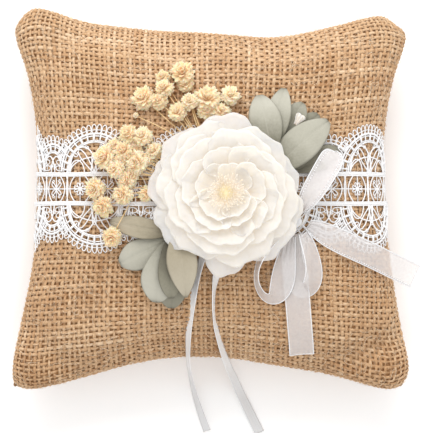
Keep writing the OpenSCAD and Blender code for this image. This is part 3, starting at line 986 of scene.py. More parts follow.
def lace_edge_place(run):
    """Plan x of a place along the band; past the crown it follows the slope to the seam."""
    u = np.linspace(0, 1, 400)
    x = u * (PILLOW_W / 2 - WAIST_X)
    z = CROWN * np.sqrt(1 - u * u)
    step = np.where(x[1:] < STRAIGHT_X, np.diff(x), np.hypot(np.diff(x), np.diff(z)))
    length = np.concatenate([[0], np.cumsum(step)])
    return np.sign(run) * np.interp(np.abs(run), length, x), length[-1]


LACE_END = lace_edge_place(0)[1]


def arc_points(centre, a, b, from_deg, to_deg, count):
    turn = np.radians(np.linspace(from_deg, to_deg, count))
    return np.stack([centre[0] + a * np.cos(turn), centre[1] + b * np.sin(turn)], 1)


def spiral(x, y, size, turns, start, side):
    turn = np.linspace(0, turns * 2 * np.pi, 16)
    r = size * (1 - 0.75 * turn / turn[-1])
    return np.stack([x + r * np.cos(start + side * turn), y + r * np.sin(start + side * turn)], 1)


def teardrop(x, y, angle, length, width):
    turn = np.linspace(0, 2 * np.pi, 13)[:-1]
    along = length * (1 - np.cos(turn)) / 2
    across = width * np.sin(turn) * (0.35 + 0.65 * along / length)
    c, s = math.cos(math.radians(angle)), math.sin(math.radians(angle))
    return np.stack([x + along * c - across * s, y + along * s + across * c], 1)


BIG_FAN, SMALL_FAN = (17.6, 32.4), (11.5, 27.4)
FAN_BASE = RAIL + 0.4
# One picot from foot to foot: shares of the way to the next picot and of its rise
PICOT = ((-0.5, 0), (-0.95, 0.35), (-0.75, 0.82), (0, 1), (0.75, 0.82), (0.95, 0.35), (0.5, 0))


def fan(x0, half, top, bars, loops):
    """One scallop above the rail: two arcs joined by bars, with round picots outside."""
    outer, inner = top - OUTER_ARC - FAN_BASE, top - INNER_ARC - FAN_BASE
    steps = 3 * bars

    def arc(grow, high, from_deg, to_deg, count):
        return arc_points((x0, FAN_BASE), half + grow, high, from_deg, to_deg, count)

    def spot(grow, high, angle):
        return arc(grow, high, angle, angle, 1)[0]

    cords = [
        (arc(0, outer, 3, 177, steps), 0.55, False),
        (arc(-1.2, outer - 1.2, 3, 177, steps), 0.34, False),
        (arc(-4.0, inner, 0, 180, steps), 0.45, False),
        (arc(-3.2, inner + 0.8, 0, 180, steps), 0.3, False),
    ]
    for k in range(bars):
        angle = 7 + 166 * k / (bars - 1)
        a, b = spot(0, outer, angle), spot(-4.0, inner, angle)
        cords.append((np.array([a, (a + b) / 2, b]), 0.62 if k % 2 else 0.42, False))
    rise = top - FAN_BASE - outer
    step = 166 / (loops - 1)
    for k in range(loops):
        angle = 7 + step * k
        foot = spot(0, outer, angle)
        side = (spot(0, outer, angle + step / 2) - spot(0, outer, angle - step / 2)) / 2
        up = spot(rise * 0.9, outer + rise, angle) - foot
        cords.append((spline([foot + side * x + up * y for x, y in PICOT], 3), 0.26, False))
    cords.append((arc(rise * 0.4, outer + rise * 0.4, 5, 175, steps), 0.24, False))
    return cords


def big_inside(x0, top):
    """Crossing arches, a leaf between them and small curls, inside a wide scallop."""
    room = top - INNER_ARC - FAN_BASE
    cords = []
    for side in (-1, 1):
        cords += [
            (arc_points((x0 + side * 5.6, FAN_BASE), 7.0, room * 0.86, 0, 180, 20), 0.42, False),
            (arc_points((x0 + side * 8.6, FAN_BASE), 3.8, room * 0.44, 0, 180, 12), 0.34, False),
            (teardrop(x0, FAN_BASE + 0.4, 90 + side * 33, room * 0.9, 2.0), 0.34, True),
            (spiral(x0 + side * 9.4, FAN_BASE + room * 0.62, 1.5, 1.2, 1.0, side), 0.3, False),
            (spiral(x0 + side * 3.4, FAN_BASE + room * 0.84, 1.2, 1.1, 2.0, -side), 0.26, False),
        ]
    cords.append((teardrop(x0, FAN_BASE + 0.6, 90, room * 0.62, 1.5), 0.34, True))
    cords.append((arc_points((x0, FAN_BASE), 12.4, room * 0.52, 0, 180, 26), 0.34, False))
    return cords


def small_inside(x0, top):
    """Two narrow arches and two curls inside a narrow scallop."""
    room = top - INNER_ARC - FAN_BASE
    cords = []
    for side in (-1, 1):
        cords += [
            (arc_points((x0 + side * 2.4, FAN_BASE), 3.6, room * 0.82, 0, 180, 14), 0.38, False),
            (spiral(x0 + side * 1.3, FAN_BASE + room * 0.35, 1.1, 1.2, 0.5, side), 0.26, False),
        ]
    return cords


def outside_big(points, closed):
    """The longest run of a cord that stays clear of the wide scallops on both sides."""
    half, high = BIG_FAN[0] + 0.3, BIG_FAN[1] - OUTER_ARC - FAN_BASE
    nearest = np.round((points[:, 0] - SCALLOP_X) / LACE_REPEAT) * LACE_REPEAT + SCALLOP_X
    far = np.hypot((points[:, 0] - nearest) / half, (points[:, 1] - FAN_BASE) / high) > 1
    if far.all():
        return points, closed
    runs = np.split(np.arange(len(points)), np.flatnonzero(np.diff(far.astype(int))) + 1)
    runs = [r for r in runs if far[r[0]]]
    best = max(runs, key=len, default=[])
    return points[list(best)], False


def middle_star(x0, petals):
    """Between the rails: a daisy or a cross with loops, closed by pairs of curved bars."""
    high = RAIL - 0.6
    cords = [(np.array([[x0, -high], [x0, 0], [x0, high]]), 0.28, False)]
    if petals:
        cords.append((arc_points((x0, 0), 0.9, 0.9, 0, 330, 11), 0.28, True))
        for k in range(8):
            cords.append((teardrop(x0, 0, 22.5 + 45 * k, 3.3, 0.8), 0.27, True))
    else:
        for angle in (45, 135, 225, 315):
            cords.append((teardrop(x0, 0, angle, 4.2, 1.1), 0.3, True))
            c, s = math.cos(math.radians(angle)), math.sin(math.radians(angle))
            cords.append((spiral(x0 + 2.6 * c * 1.1, 5.4 * s * 1.05, 0.9, 1.1, angle, 1), 0.24, False))
    y = np.linspace(-high, high, 13)
    for side in (-1, 1):
        for start, curve in ((0.7, 0.84), (-0.5, -3.0)):
            bow = STAR / 2 + start + curve * (y / high) ** 2
            cords.append((np.stack([x0 + side * (bow - 1.1), y], 1), 0.36, False))
    return cords


def lace_cords():
    """All cords of the band, flat: x along it, y across it, radius and whether it is closed."""
    cords = []
    x = np.linspace(-LACE_END, LACE_END, 150)
    for side in (-1, 1):
        for shift, r in ((-0.75, 0.42), (0, 0.46), (0.75, 0.42)):
            cords.append((np.stack([x, np.full_like(x, side * (RAIL + shift))], 1), r, False))
    cords.append((np.stack([x, np.zeros_like(x)], 1), 0.3, False))
    for k in range(-9, 10):
        cords += middle_star(STAR_X + (k + 4) * STAR, k % 2 == 0)
    for k in range(-3, 7):
        x0 = SCALLOP_X + k * LACE_REPEAT / 2
        if k % 2 == 0:
            above = fan(x0, *BIG_FAN, 15, 23) + big_inside(x0, BIG_FAN[1])
        else:
            small = fan(x0, *SMALL_FAN, 10, 15) + small_inside(x0, SMALL_FAN[1])
            cut = [(*outside_big(points, closed), r) for points, r, closed in small]
            above = [(points, r, closed) for points, closed, r in cut if len(points) > 2]
        for points, r, closed in above:
            cords += [(points, r, closed), (points * [1, -1], r, closed)]
    return cords


def lace_mesh():
    """The band's cords laid over the pillow; what runs past the side seams is cut off."""
    out = Cords(sides=5)
    for points, r, closed in lace_cords():
        inside = np.abs(points[:, 0]) <= LACE_END
        if not inside.all():
            if closed or inside.sum() < 3:
                continue
            order = np.flatnonzero(inside)
            points = points[order[0] : order[-1] + 1]
            if (np.abs(points[:, 0]) > LACE_END).any():
                continue
        x, _ = lace_edge_place(points[:, 0])
        stretch = 1 + 0.02 * np.sin(points[:, 0] * 0.11)
        place, up = on_front(x, LACE_Y + points[:, 1] * stretch, 0.35 + r * 0.8)
        out.add(place * MM, r * MM, up=up, flat=0.8, closed=closed, value=rng.uniform())
    return out.mesh()


lace_mat = grained(
    "lace_cotton", (232, 231, 232), (252, 252, 252), (2400, 2), (5200, 2, 0.5, 0.5, 0.0002),
    rough=0.7, sheen=0.3, specular=0.3,
).mat
lace = piece("lace_band_guipure", lace_mesh(), lace_mat, ("lace_band",))

# ---------- the fabric flower ----------

# Where the petals start, and how thick they are
PETAL_Z = 67.7
PETAL_T = 0.4
# Each layer: rim height, how cupped it is, droop of the rim, ruffle, then its petals as
# direction in degrees, half width in degrees and reach in millimetres
LAYERS = (
    (1.0, 0.0, 1.6, 0.5, (
        (88, 27, 39.6), (137, 27, 39.0), (172, 26, 38.8), (213, 30, 38.6), (269, 19, 41.6),
        (314, 31, 40.0), (14, 30, 36.6), (340, 24, 39.4),
    )),
    (3.6, 0.25, 1.9, 0.6, (
        (50, 38, 35.8), (112, 38, 36.4), (164, 34, 35.0), (232, 40, 35.2), (288, 36, 37.0),
        (345, 38, 36.2),
    )),
    (6.2, 0.38, 1.9, 0.7, (
        (72, 42, 31.6), (16, 40, 30.8), (128, 42, 31.4), (192, 42, 30.2),
        (262, 44, 31.8), (324, 42, 31.2),
    )),
    (8.0, 0.46, 1.9, 0.65, (
        (118, 58, 26.8), (38, 48, 26.6), (350, 44, 27.2), (206, 46, 25.4), (268, 46, 27.6),
        (312, 38, 25.2),
    )),
    (8.8, 0.52, 1.7, 0.6, (
        (86, 48, 19.6), (160, 48, 19.4), (22, 46, 21.0), (232, 50, 21.0), (304, 50, 21.6)
    )),
    (8.0, 0.58, 1.3, 0.5, ((60, 54, 14.0), (142, 56, 13.8), (224, 56, 14.8), (312, 58, 15.2))),
)
# The side of the heart that lies open, in degrees, and how much lower its petals stand there
OPEN_SIDE, OPEN_DROP = 125, 0.36
OPEN_SPREAD = (0, 0, 0.03, 0.07, 0.2, 0.16)


def petal(layer, spec, rows=22, columns=37):
    """One broad petal as a grid of points, in millimetres, and how far out each row lies."""
    rim_z, cup, droop, ruffle, _ = LAYERS[layer]
    angle, half, reach = spec
    openness = math.cos(math.radians(angle - OPEN_SIDE))
    reach = reach * (1 + OPEN_SPREAD[layer] * openness)
    k = np.linspace(0, 1, rows)[:, None]
    a = np.linspace(-1, 1, columns)[None, :]
    turns = a * np.pi * half / 36
    phase = rng.uniform(0, 2 * np.pi, 8)
    rim = 1 - 0.17 * np.abs(a) ** 3.2 + 0.02 * np.cos(2.6 * turns + phase[0])
    rim = rim + 0.007 * np.cos(5.3 * turns + phase[1]) + 0.0015 * np.cos(9.1 * turns + phase[2])
    radius = 2.2 + (reach * rim - 2.2) * k ** (1 - 0.38 * cup)
    lean = 1 - OPEN_DROP * cup * (1 + openness)
    rim_z = (rim_z + 0.9 * layer) * lean + rng.uniform(-0.7, 0.7)
    height = rim_z * k ** (1.1 + 1.1 * cup)
    lip = smooth_step(0.72, 1.0, k)
    height = height - droop * lip**1.6
    waves = np.cos(1.7 * turns + phase[3]) + 0.5 * np.cos(3.4 * turns + phase[4])
    waves = waves + 0.09 * np.cos(6.3 * turns + phase[5]) + 0.02 * np.cos(11 * turns + phase[6])
    grown = smooth_step(0.3, 1.05, k) ** 1.6
    height = height + ruffle * 0.75 * waves * grown
    radius = radius + ruffle * 0.4 * np.roll(waves, 3, axis=1) * grown * cup
    # creases that run down from the rim, and one side lying over the next petal
    height = height + 0.1 * np.cos(8.5 * turns + phase[7]) * smooth_step(0.1, 0.6, k)
    height = height + (0.9 + 0.15 * layer) * a * smooth_step(0.1, 0.6, k) - 0.5 * cup * a * a * k
    width = 0.35 + 0.65 * smooth_step(0, 0.6, k)
    turn = np.radians(angle + a * half * width * (1 - 0.08 * lip))
    x = FLOWER[0] + radius * np.cos(turn)
    y = FLOWER[1] + radius * np.sin(turn)
    return np.stack([x, y, PETAL_Z + height + 0 * x], -1), k


def petal_material():
    m = Nodes("petal_silk", rough=0.6, sheen=0.2, specular=0.25)
    m.put("Subsurface Weight", 0.6)
    m.put("Subsurface Radius", (1.0, 0.8, 0.55))
    m.put("Subsurface Scale", 0.006)
    # painted glow: the silk gives off a little warm light of its own, standing in for light through the
    # thin petals and lifting the shade between them
    m.glow((1.0, 0.9, 0.79), 0.2)
    # painted shade: each petal is warmer and more golden towards its foot, where it lies under the petals
    # above
    tone = m.total((m.value("reach"), 0.85), (m.noise(140, 3), 0.25))
    m.colour(
        m.ramp(
            tone,
            (0.2, linear(228, 204, 172)),
            (0.5, linear(225, 215, 202)),
            (0.75, linear(208, 202, 192)),
            (1.0, linear(200, 197, 191)),
        )
    )
    m.bump(m.noise(1300, 3, 0.2), 0.1, 0.0003)
    return m.mat


petal_mat = petal_material()
for layer, spec in enumerate(LAYERS):
    petals = Petals()
    for one in spec[-1]:
        points, along = petal(layer, one)
        petals.add(points, PETAL_T, along if layer < 4 else 0.42 + 0.58 * along)
    node = f"petal_layer_{layer + 1}"
    piece(f"{node}_silk", petals.mesh(), petal_mat, (node,))


def stamen_fringe():
    """Fine threads with tiny anthers, fanned out round the pip's button."""
    out = Cords(sides=5)
    for k in range(120):
        angle = k * 2.39996
        ring = math.sqrt((k + 3) / 123)
        lean = 10.2 * ring * rng.uniform(0.82, 1.1)
        way = np.array([math.cos(angle), math.sin(angle), 0])
        foot = 2.6 * ring * way
        tip = lean * way + [0, 0, 8.6 - 3.6 * ring + rng.uniform(-0.6, 0.6)]
        knee = foot * 0.45 + tip * 0.55 + way * 0.5 + [0, 0, 1.0]
        base = np.array([FLOWER[0], FLOWER[1], 73.4])
        path = spline([base + foot, base + knee, base + tip], 4)
        radius = np.full(len(path), 0.14)
        radius[-2:] = 0.3
        out.add(path * MM, radius * MM, value=rng.uniform())
    return out.mesh()


stamen_mat = grained(
    "stamen_thread", (250, 236, 213), (252, 244, 231), "tone", (4000, 2, 0.3, 0.0001),
    rough=0.6, sheen=0.1, specular=0.3,
).mat
piece("stamen_fringe", stamen_fringe(), stamen_mat, ("stamens",))

# ---------- leaves ----------

# Each leaf from the lowest up: root, tip, width, how high its middle arches, how near its root it
# is widest, how its sides curl, and its tone, a shift along its colours; the leaves that the key light
# strikes hardest are set darker, as painted shade
UPPER_LEAVES = (
    ((40, 13, 61.5), (64, 25, 53.5), 12, 1, 1.5, 0.05, 0),
    ((35, 24, 61.5), (54, 42.5, 54), 12, 1, 1.5, 0.05, -0.1),
    ((34, 26, 62.5), (46.2, 48.2, 54.5), 12.5, 1, 1.4, 0.05, -0.4),
    ((30, 23, 63.5), (36.8, 55.5, 55.5), 13, 1.5, 1.2, 0.06, -0.2),
    ((29, 12, 64.5), (59, 39, 57.5), 18, 2, 1.15, -0.04, -0.12),
    ((31, 20, 65.5), (24.2, 52, 59.5), 16.5, 2, 1.3, -0.04, -0.15),
)
LOWER_LEAVES = (
    ((-18, -25, 59), (-20, -55, 52.5), 16, 1, 1.5, 0.04, -0.02),
    ((-21, -20.5, 61), (-45.8, -32.5, 54.5), 15.5, 1, 1.4, -0.03, -0.1),
    ((-23.5, -21.5, 61.5), (-27.5, -52, 54.5), 18, 1.5, 1.4, 0.04, 0.0),
    ((-21.5, -19, 63), (-20, -50, 56), 13, 1, 1.3, 0.04, -0.2),
    ((-16.5, -15, 64.5), (-12.5, -49.5, 57.5), 15.5, 2, 0.95, 0.06, 0.06),
    ((-19, -17, 63.5), (-50.5, -11.2, 57.5), 11, 1.5, 1.1, -0.05, -0.18),
)


def leaf_patch(trees, root, tip, width, arch, shape, cup, rows=26, columns=15):
    """A round moulded leaf: cupped, with a midrib groove and a gently waved edge."""
    root, tip = np.array(root, float), np.array(tip, float)
    way = tip - root
    flat = unit(np.array([way[0], way[1], 0.0]))
    level = np.array([-flat[1], flat[0], 0.0])
    t = np.linspace(0, 1, rows)[:, None]
    s = np.linspace(-1, 1, columns)[None, :]
    fullness = 0.66 if shape > 1 else 0.85
    belly = np.maximum(0, np.sin(np.pi * (0.02 + 0.96 * t) ** shape)) ** fullness
    bend = rng.uniform(-1, 1) * width * 0.05
    half = width / 2 * belly
    lift = arch * 4 * t * (1 - t) + cup * width * s * s * belly
    lift = lift - 0.35 * np.exp(-((s / 0.1) ** 2)) * smooth_step(0, 0.2, t)
    lift = lift + 0.45 * np.sin(t * 7 + rng.uniform(0, 6)) * s * s * np.sign(s)
    points = (
        root
        + way * t[..., None]
        + level * (s * half + bend * np.sin(np.pi * t))[..., None]
        + np.array([0, 0, 1.0]) * lift[..., None]
    )
    points[..., 2] += lift_clear(points, 1.0, 4, trees)[:, None]
    return points, np.broadcast_to(t, points.shape[:2]), np.broadcast_to(s, points.shape[:2])


def leaf_material(name, *colours):
    m = Nodes(name, rough=0.55, sheen=0.2, specular=0.35)
    light, middle, dark = (linear(*colour) for colour in colours)
    across, along = m.value("across"), m.value("along")
    rib = m.math("COMPARE", across, 0.0)
    rib.node.inputs[2].default_value = 0.04
    slant = m.total((along, 46.0), (m.math("ABSOLUTE", across), -17.0))
    veins = m.math("POWER", m.math("ABSOLUTE", m.math("SINE", slant)), 14.0)
    lines = m.math("MAXIMUM", m.math("MULTIPLY", veins, 0.3), rib)
    # painted shade: each leaf is darker towards the stalk, where it lies under the leaves above, and paler
    # over its outer half
    patch = m.total((along, 0.5), (m.noise(45, 3), 0.55), (m.noise(800, 3), 0.14), (m.value("tone"), 1))
    base = m.ramp(patch, (0.25, dark), (0.52, middle), (0.82, light))
    # painted shade: a thin dark line along the edge and the tip, where the edge turns down out of the
    # light
    rim = m.math("POWER", m.math("MAXIMUM", m.math("ABSOLUTE", across), along), 26.0)
    edge_shaded = m.mix(m.math("MULTIPLY", rim, 0.85), base, dark)
    m.colour(m.mix(m.math("MULTIPLY", lines, 0.16), edge_shaded, light))
    m.bump(m.total((lines, 1), (m.noise(1600, 2), 0.35)), 0.3, 0.0003)
    return m.mat


LEAF_LOOKS = {
    "cool": leaf_material("leaf_cool", (188, 185, 171), (166, 163, 148), (118, 115, 99)),
    "warm": leaf_material("leaf_warm", (186, 177, 157), (164, 154, 132), (120, 112, 91)),
    "moss": leaf_material("leaf_moss", (158, 154, 137), (130, 126, 109), (94, 90, 75)),
}
for group, specs, looks in (
    ("upper", UPPER_LEAVES, ("moss", "moss", "cool", "cool", "cool", "cool")),
    ("lower", LOWER_LEAVES, ("moss", "cool", "cool", "moss", "warm", "warm")),
):
    below = [front_tree]
    for k, (spec, look) in enumerate(zip(specs, looks)):
        points, along, across = leaf_patch(below, *spec[:-1])
        faces = grid_faces(*points.shape[:2]).tolist()
        below.append(BVHTree.FromPolygons(points.reshape(-1, 3).tolist(), faces))
        verts, quads = thick_patch(points * MM, 0.4 * MM)
        values = {
            "along": np.tile(along.ravel(), 2),
            "across": np.tile(across.ravel(), 2),
            "tone": np.full(2 * along.size, float(spec[-1])),
        }
        node = f"{group}_leaf_{k + 1}"
        mesh = make_mesh(verts, [quads], values=values)
        piece(f"{node}_fabric", mesh, LEAF_LOOKS[look], (node,))

# ---------- gypsophila ----------

# x, y, radius and height above the cover of each head, and for one head where its stalk starts
TOP_HEADS = (
    (-34.5, 51, 5.2, 6), (-24.5, 61.5, 3.3, 5), (-14.5, 64, 5.4, 8), (-13, 58, 3.6, 5),
    (-24, 56, 4.1, 8), (-26.5, 49.5, 3.8, 6), (-11, 49.5, 3.9, 8), (-17, 44, 4.3, 6),
    (-2, 51, 6, 7), (-2, 45, 4.4, 5), (5.5, 44.5, 4, 5), (10, 52.5, 4.5, 6), (-38, 42, 1.3, 3),
)
LEFT_HEADS = (
    (-42, 33, 4.2, 6), (-34.5, 32, 4.2, 7), (-38, 26.5, 3, 4), (-29, 24.5, 4, 4),
    (-44, 24.5, 4.4, 7), (-54, 21, 5.6, 6), (-48.5, 15, 4, 9), (-38, 18.5, 5.2, 7),
    (-43, 9.5, 4.4, 5), (-59, 5, 4.6, 6), (-45, 2, 4.6, 7), (-55, -4, 4.6, 6),
    (-33, 2, 3.6, 4), (-50, -20, 4.4, 6, -41, -3), (-49, 27, 3.4, 4), (-40.5, 12.5, 3.4, 5),
    (-33, 20, 3.2, 4), (-46, 19.5, 3.4, 6), (-40, 29, 3, 3),
)
# How far from the flower's middle the stalks come out, and how thick they are
STALK_FOOT, STALK_R = 29, 0.28


def above_cover(x, y, lift):
    return np.array([x, y, float(smooth_front(x, y)) + lift])


def stalk_foot(head, middle):
    """Where a head's stalk comes out from under the flower, or from under the other heads."""
    if len(head) > 4:
        return above_cover(head[4], head[5], 3.5)
    way = unit(unit(np.array(head[:2]) - FLOWER) + unit(middle - FLOWER))
    x, y = np.array(FLOWER) + way * STALK_FOOT
    return above_cover(x, y, 2 + rng.uniform(0, 2))


# The petals of a double floret, ring by ring from outside: how many, how long and their lean
FLORET_RINGS = (
    (18, 1.04, 80), (18, 1.22, 62), (17, 1.38, 47), (14, 1.46, 32), (9, 1.5, 18), (4, 1.5, 5)
)


def spokes(axis, hint):
    """A function of a turn round an axis: the way out there, and the way across."""
    side = unit(np.cross(axis, hint))
    other = np.cross(axis, side)

    def at(turn):
        c, s = math.cos(turn), math.sin(turn)
        return side * c + other * s, other * c - side * s

    return at


def add_floret(heads, centre, axis, size):
    """A double floret: a dome of small crumpled petals round a golden middle."""
    around = spokes(axis, [0.3, 0.5, 0.8])
    foot = centre - axis * size * 0.75
    r = np.linspace(0, 1, 6)[:, None]
    a = np.linspace(-1, 1, 5)[None, :]
    for ring, (petals, length, lean) in enumerate(FLORET_RINGS):
        for k in range(petals):
            turn = 2 * np.pi * (k + 0.5 * ring + rng.uniform(-0.5, 0.5)) / petals
            tilt = math.radians(lean + rng.uniform(-17, 17))
            out, across = around(turn)
            reach = size * length * rng.uniform(0.84, 1.04)
            bend = tilt * (0.45 + 0.75 * r)
            wide = size * 0.29 * np.sin(np.pi * (0.08 + 0.56 * r)) ** 0.8
            twist = rng.uniform(-0.1, 0.1) * size * a * r
            ruffle = size * 0.1 * np.sin(a * 4.2 + rng.uniform(0, 6)) * r * r + twist
            long = reach * r * (1 - (0.07 * a * a + rng.normal(0, 0.05, (1, 5))) * r * r)
            grid = (
                foot
                + axis * (long * np.cos(bend) + ruffle)[..., None]
                + out * (long * np.sin(bend) + ruffle - 0.1 * size * a * a * r)[..., None]
                + across * (a * wide + 0 * r)[..., None]
            )
            heads.add(grid, 0.14, r)


def gypsophila(name, specs, floret_mat, stalk_mat):
    """A sprig: its florets, and the stalks that widen into them."""
    heads, stalks = Petals(), Cords(sides=6)
    middle = np.mean([head[:2] for head in specs], 0)
    for head in specs:
        x, y, size, lift = head[:4]
        centre, foot = above_cover(x, y, lift), stalk_foot(head, middle)
        axis = unit(centre + [0, 0, 3] - foot)
        up = unit(axis * 0.55 + np.array([0, 0, 0.8]))
        first = len(heads.reach)
        add_floret(heads, centre, up, size)
        shade = rng.uniform(-0.16, 0.04)
        heads.reach[first:] = [reach + shade for reach in heads.reach[first:]]
        base = centre - up * size * 0.75
        sag = (foot + base) / 2 + [rng.uniform(-1, 1), rng.uniform(-1, 1), 1.2]
        path = spline([foot, sag, base - axis * 1.2, base + up * 0.8], 6)
        radius = np.full(len(path), STALK_R)
        radius[-7:] = np.linspace(STALK_R, size * 0.16, 7)
        stalks.add(path * MM, radius * MM, value=rng.uniform())
    piece(f"{name}_florets", heads.mesh(), floret_mat, (f"{name}_heads",))
    stands_for = (f"{name}_stems", f"{name}_calyxes")
    piece(f"{name}_stalks", stalks.mesh(), stalk_mat, stands_for)


def floret_material():
    m = Nodes("floret_cream", rough=0.8, sheen=0.15, specular=0.2)
    m.put("Subsurface Weight", 0.45)
    m.put("Subsurface Scale", 0.003)
    # painted glow: the florets give off a little warm light of their own
    m.glow((1.0, 0.82, 0.58), 0.1)
    tone = m.total((m.value("reach"), 0.75), (m.noise(420, 3), 0.35))
    m.colour(
        m.ramp(
            tone,
            (0.2, linear(192, 134, 76)),
            (0.5, linear(222, 177, 125)),
            (0.8, linear(238, 208, 170)),
            (1.0, linear(246, 224, 196)),
        )
    )
    m.bump(m.noise(2400, 3), 0.4, 0.0002)
    return m.mat


floret_mat = floret_material()
stalk_mat = grained(
    "stalk_straw", (214, 180, 124), (238, 212, 166), (600, 3), (3000, 2, 0, 0.4, 0.0001),
    rough=0.65, specular=0.3,
).mat
gypsophila("gypsophila_top", TOP_HEADS, floret_mat, stalk_mat)
gypsophila("gypsophila_left", LEFT_HEADS, floret_mat, stalk_mat)

# ---------- the organza bow ----------

NARROW = 1 / 3
# x, y, z and roll of each route point, and the ribbon's share of its full width there, as in the
# part's source
BOW = {
    "upper_loop": (
        (45, -6.6, 61.6, 0, NARROW), (48, -1, 65.5, 0, 0.8), (54, 8.5, 66.5, 0, 1),
        (60, 19, 62.5, 0, 1), (63, 24, 59.5, 0, 1), (61.5, 21.5, 57.4, 0, 1),
        (56, 12, 58.2, 0, 1), (50, 1, 59.2, 0, 0.8), (46.6, -6, 59.8, 0, NARROW),
    ),
    "side_tail": (
        (47.6, -12.6, 60.2, 0, NARROW), (54, -15.5, 57, 6, 0.8), (63, -20.5, 53, 8, 1),
        (78, -27, 45.5, 6, 1), (91, -33.5, 37, 3, 1), (107, -41, 30, 0, 1),
    ),
    "left_loop": (
        (38.6, -13.4, 60.6, 20, NARROW), (30, -22, 61, 70, 0.8), (23.5, -33, 63, 85, 1),
        (23, -43, 61.5, 80, 1), (28.5, -51, 57.5, 55, 1), (34.5, -47, 57.5, 20, 1),
        (36.5, -38, 59, 5, 1), (38, -28, 60.6, 0, 0.7), (40.4, -16, 61.4, 0, NARROW),
    ),
    "right_loop": (
        (45.6, -15.4, 60.8, -20, NARROW), (49, -24, 60.6, -40, 0.8), (51.5, -34, 59.6, -50, 1),
        (51, -42, 58.2, -45, 1), (47.5, -46.5, 55.4, -20, 1), (43.5, -41, 55.4, 0, 1),
        (41.5, -32, 57, 0, 0.8), (42.8, -16.4, 58.6, 0, NARROW),
    ),
    "lower_tail": (
        (41.4, -15.4, 58.4, 0, NARROW), (41, -25, 57.2, 0, 0.9), (42.5, -38, 55.2, 0, 1),
        (43.5, -50, 52.6, 0, 1), (44.5, -62, 48.4, 0, 1), (45.5, -73, 42.8, 0, 1), (46, -80, 39, 0, 1),
    ),
}
ORGANZA_T = 0.14
KNOT = (43, -11, 60.5)

organza = grained(
    "organza_sheer", (236, 231, 230), (249, 245, 243), (900, 3, 0.5), (3200, 2, 0, 0.2, 0.0001),
    rough=0.4, sheen=0.35, specular=0.4,
)
organza.put("Alpha", 0.38)
# painted shade: the corded edges are painted a little greyer than the sheer ribbon, as the shade along
# them
edge_mat = grained(
    "organza_edge", (222, 222, 224), (242, 242, 243), (3000, 2), (5000, 2, 0, 0.4, 0.0001),
    rough=0.4, sheen=0.3, specular=0.5,
).mat


def ribbon_course(part):
    """A bow ribbon's middle line, the ways across and out of its face, its widths and shares."""
    rows = spline(BOW[part], 12)
    share = rows[:, 4:5]
    path = smoothed(rows[:, :3], 7)
    across, _ = ribbon_frame(path, rows[:, 3])
    half = unit(smoothed(across, 27)) * share * ORGANZA_W / 2
    left, right = path - half, path + half
    for _ in range(4):
        left, right = smoothed(left, 13), smoothed(right, 13)
    path, across = (left + right) / 2, unit(right - left)
    width = np.linalg.norm(right - left, axis=1)
    face = unit(np.cross(np.gradient(path, axis=0), across))
    lanes = np.linspace(-0.5, 0.5, 5)[:, None] * across[:, None] * width[:, None, None]
    path[:, 2] += lift_clear(path[:, None] + lanes, 1.1, 6)
    return path, across, face, width, share


def organza_ribbon(part, dotted):
    """A sheer ribbon with corded edges; dotted lists the columns that carry a dashed line."""
    path, across, face, width, share = ribbon_course(part)
    s = np.linspace(-1, 1, 17)
    gather = np.clip((1 - share) / (1 - NARROW), 0, 1)
    run = np.linspace(0, 1, len(path))[:, None]
    pleat = 0.9 * gather**1.5 * np.cos(s * np.pi * 3.5)
    sway = 0.25 * np.sin(run * 17 + s * 1.6) * (1 - gather) + 0.35 * s * s * (1 - gather)
    lift = pleat + sway
    verts, quads = flat_ribbon(path, across, face, width, ORGANZA_T, lift)
    name = f"bow_{part}"
    mesh = make_mesh(verts * MM, [quads])
    obj = piece(f"{name}_organza", mesh, organza.mat, (name,))
    cords = Cords(sides=6)

    def lane(column, rise=0.0):
        aside = across * (s[column] * width / 2)[:, None]
        return path + aside + face * (lift[:, column, None] + rise)

    for column in (0, -1):
        cords.add(lane(column) * MM, 0.3 * MM, up=face, flat=0.7, value=rng.uniform())
    for column in dotted:
        line = lane(column, 0.15)
        place = np.concatenate([[0], np.cumsum(np.linalg.norm(np.diff(line, axis=0), axis=1))])
        for start in np.arange(1.5, place[-1] - 1.5, 1.5):
            dash = along_line(line, np.array([start, start + 0.35, start + 0.7]), place)
            cords.add(dash * MM, 0.24 * MM, value=rng.uniform())
    if part.endswith("tail"):
        end = path[-1] + across[-1] * (s * width[-1] / 2)[:, None] + face[-1] * lift[-1][:, None]
        cords.add(end * MM, 0.22 * MM, up=np.tile(face[-1], (len(s), 1)))
    edge = piece(f"{name}_edges", cords.mesh(), edge_mat)


for part, dotted in (
    ("upper_loop", (2, -3)), ("side_tail", (1,)), ("left_loop", ()), ("right_loop", ()), ("lower_tail", ())
):
    organza_ribbon(part, dotted)


def knot_mesh():
    """The turn of ribbon round the middle of the bow, drawn into ridges."""
    x, y, z = KNOT
    columns, tall = 48, 1.6
    turn = np.linspace(0, 2 * np.pi, columns + 1)[:-1]
    high = np.linspace(-np.pi / 2, np.pi / 2, 17)[1:-1, None]
    radius = 2.7 * np.cos(high) ** 0.8 * (1 + 0.05 * np.cos(turn * 9) + 0.04 * np.cos(turn * 4 + 1))
    rise = tall * np.sin(high) + 0 * turn
    rings = [x + radius * np.cos(turn), y + radius * np.sin(turn) * 1.25, z + rise]
    verts = np.stack(rings, -1).reshape(-1, 3)
    foot, top = len(verts), len(verts) + 1
    step = np.arange(columns)
    ahead, last = (step + 1) % columns, len(verts) - columns
    low_cap = np.stack([np.full(columns, foot), ahead, step], 1)
    top_cap = np.stack([np.full(columns, top), last + step, last + ahead], 1)
    verts = np.concatenate([verts, [(x, y, z - tall), (x, y, z + tall)]]) * MM
    return make_mesh(verts, [grid_faces(len(high), columns, wrap=True), low_cap, top_cap])


piece("bow_knot_wrap", knot_mesh(), edge_mat, ("bow_knot",))

# ---------- sewing thread ----------


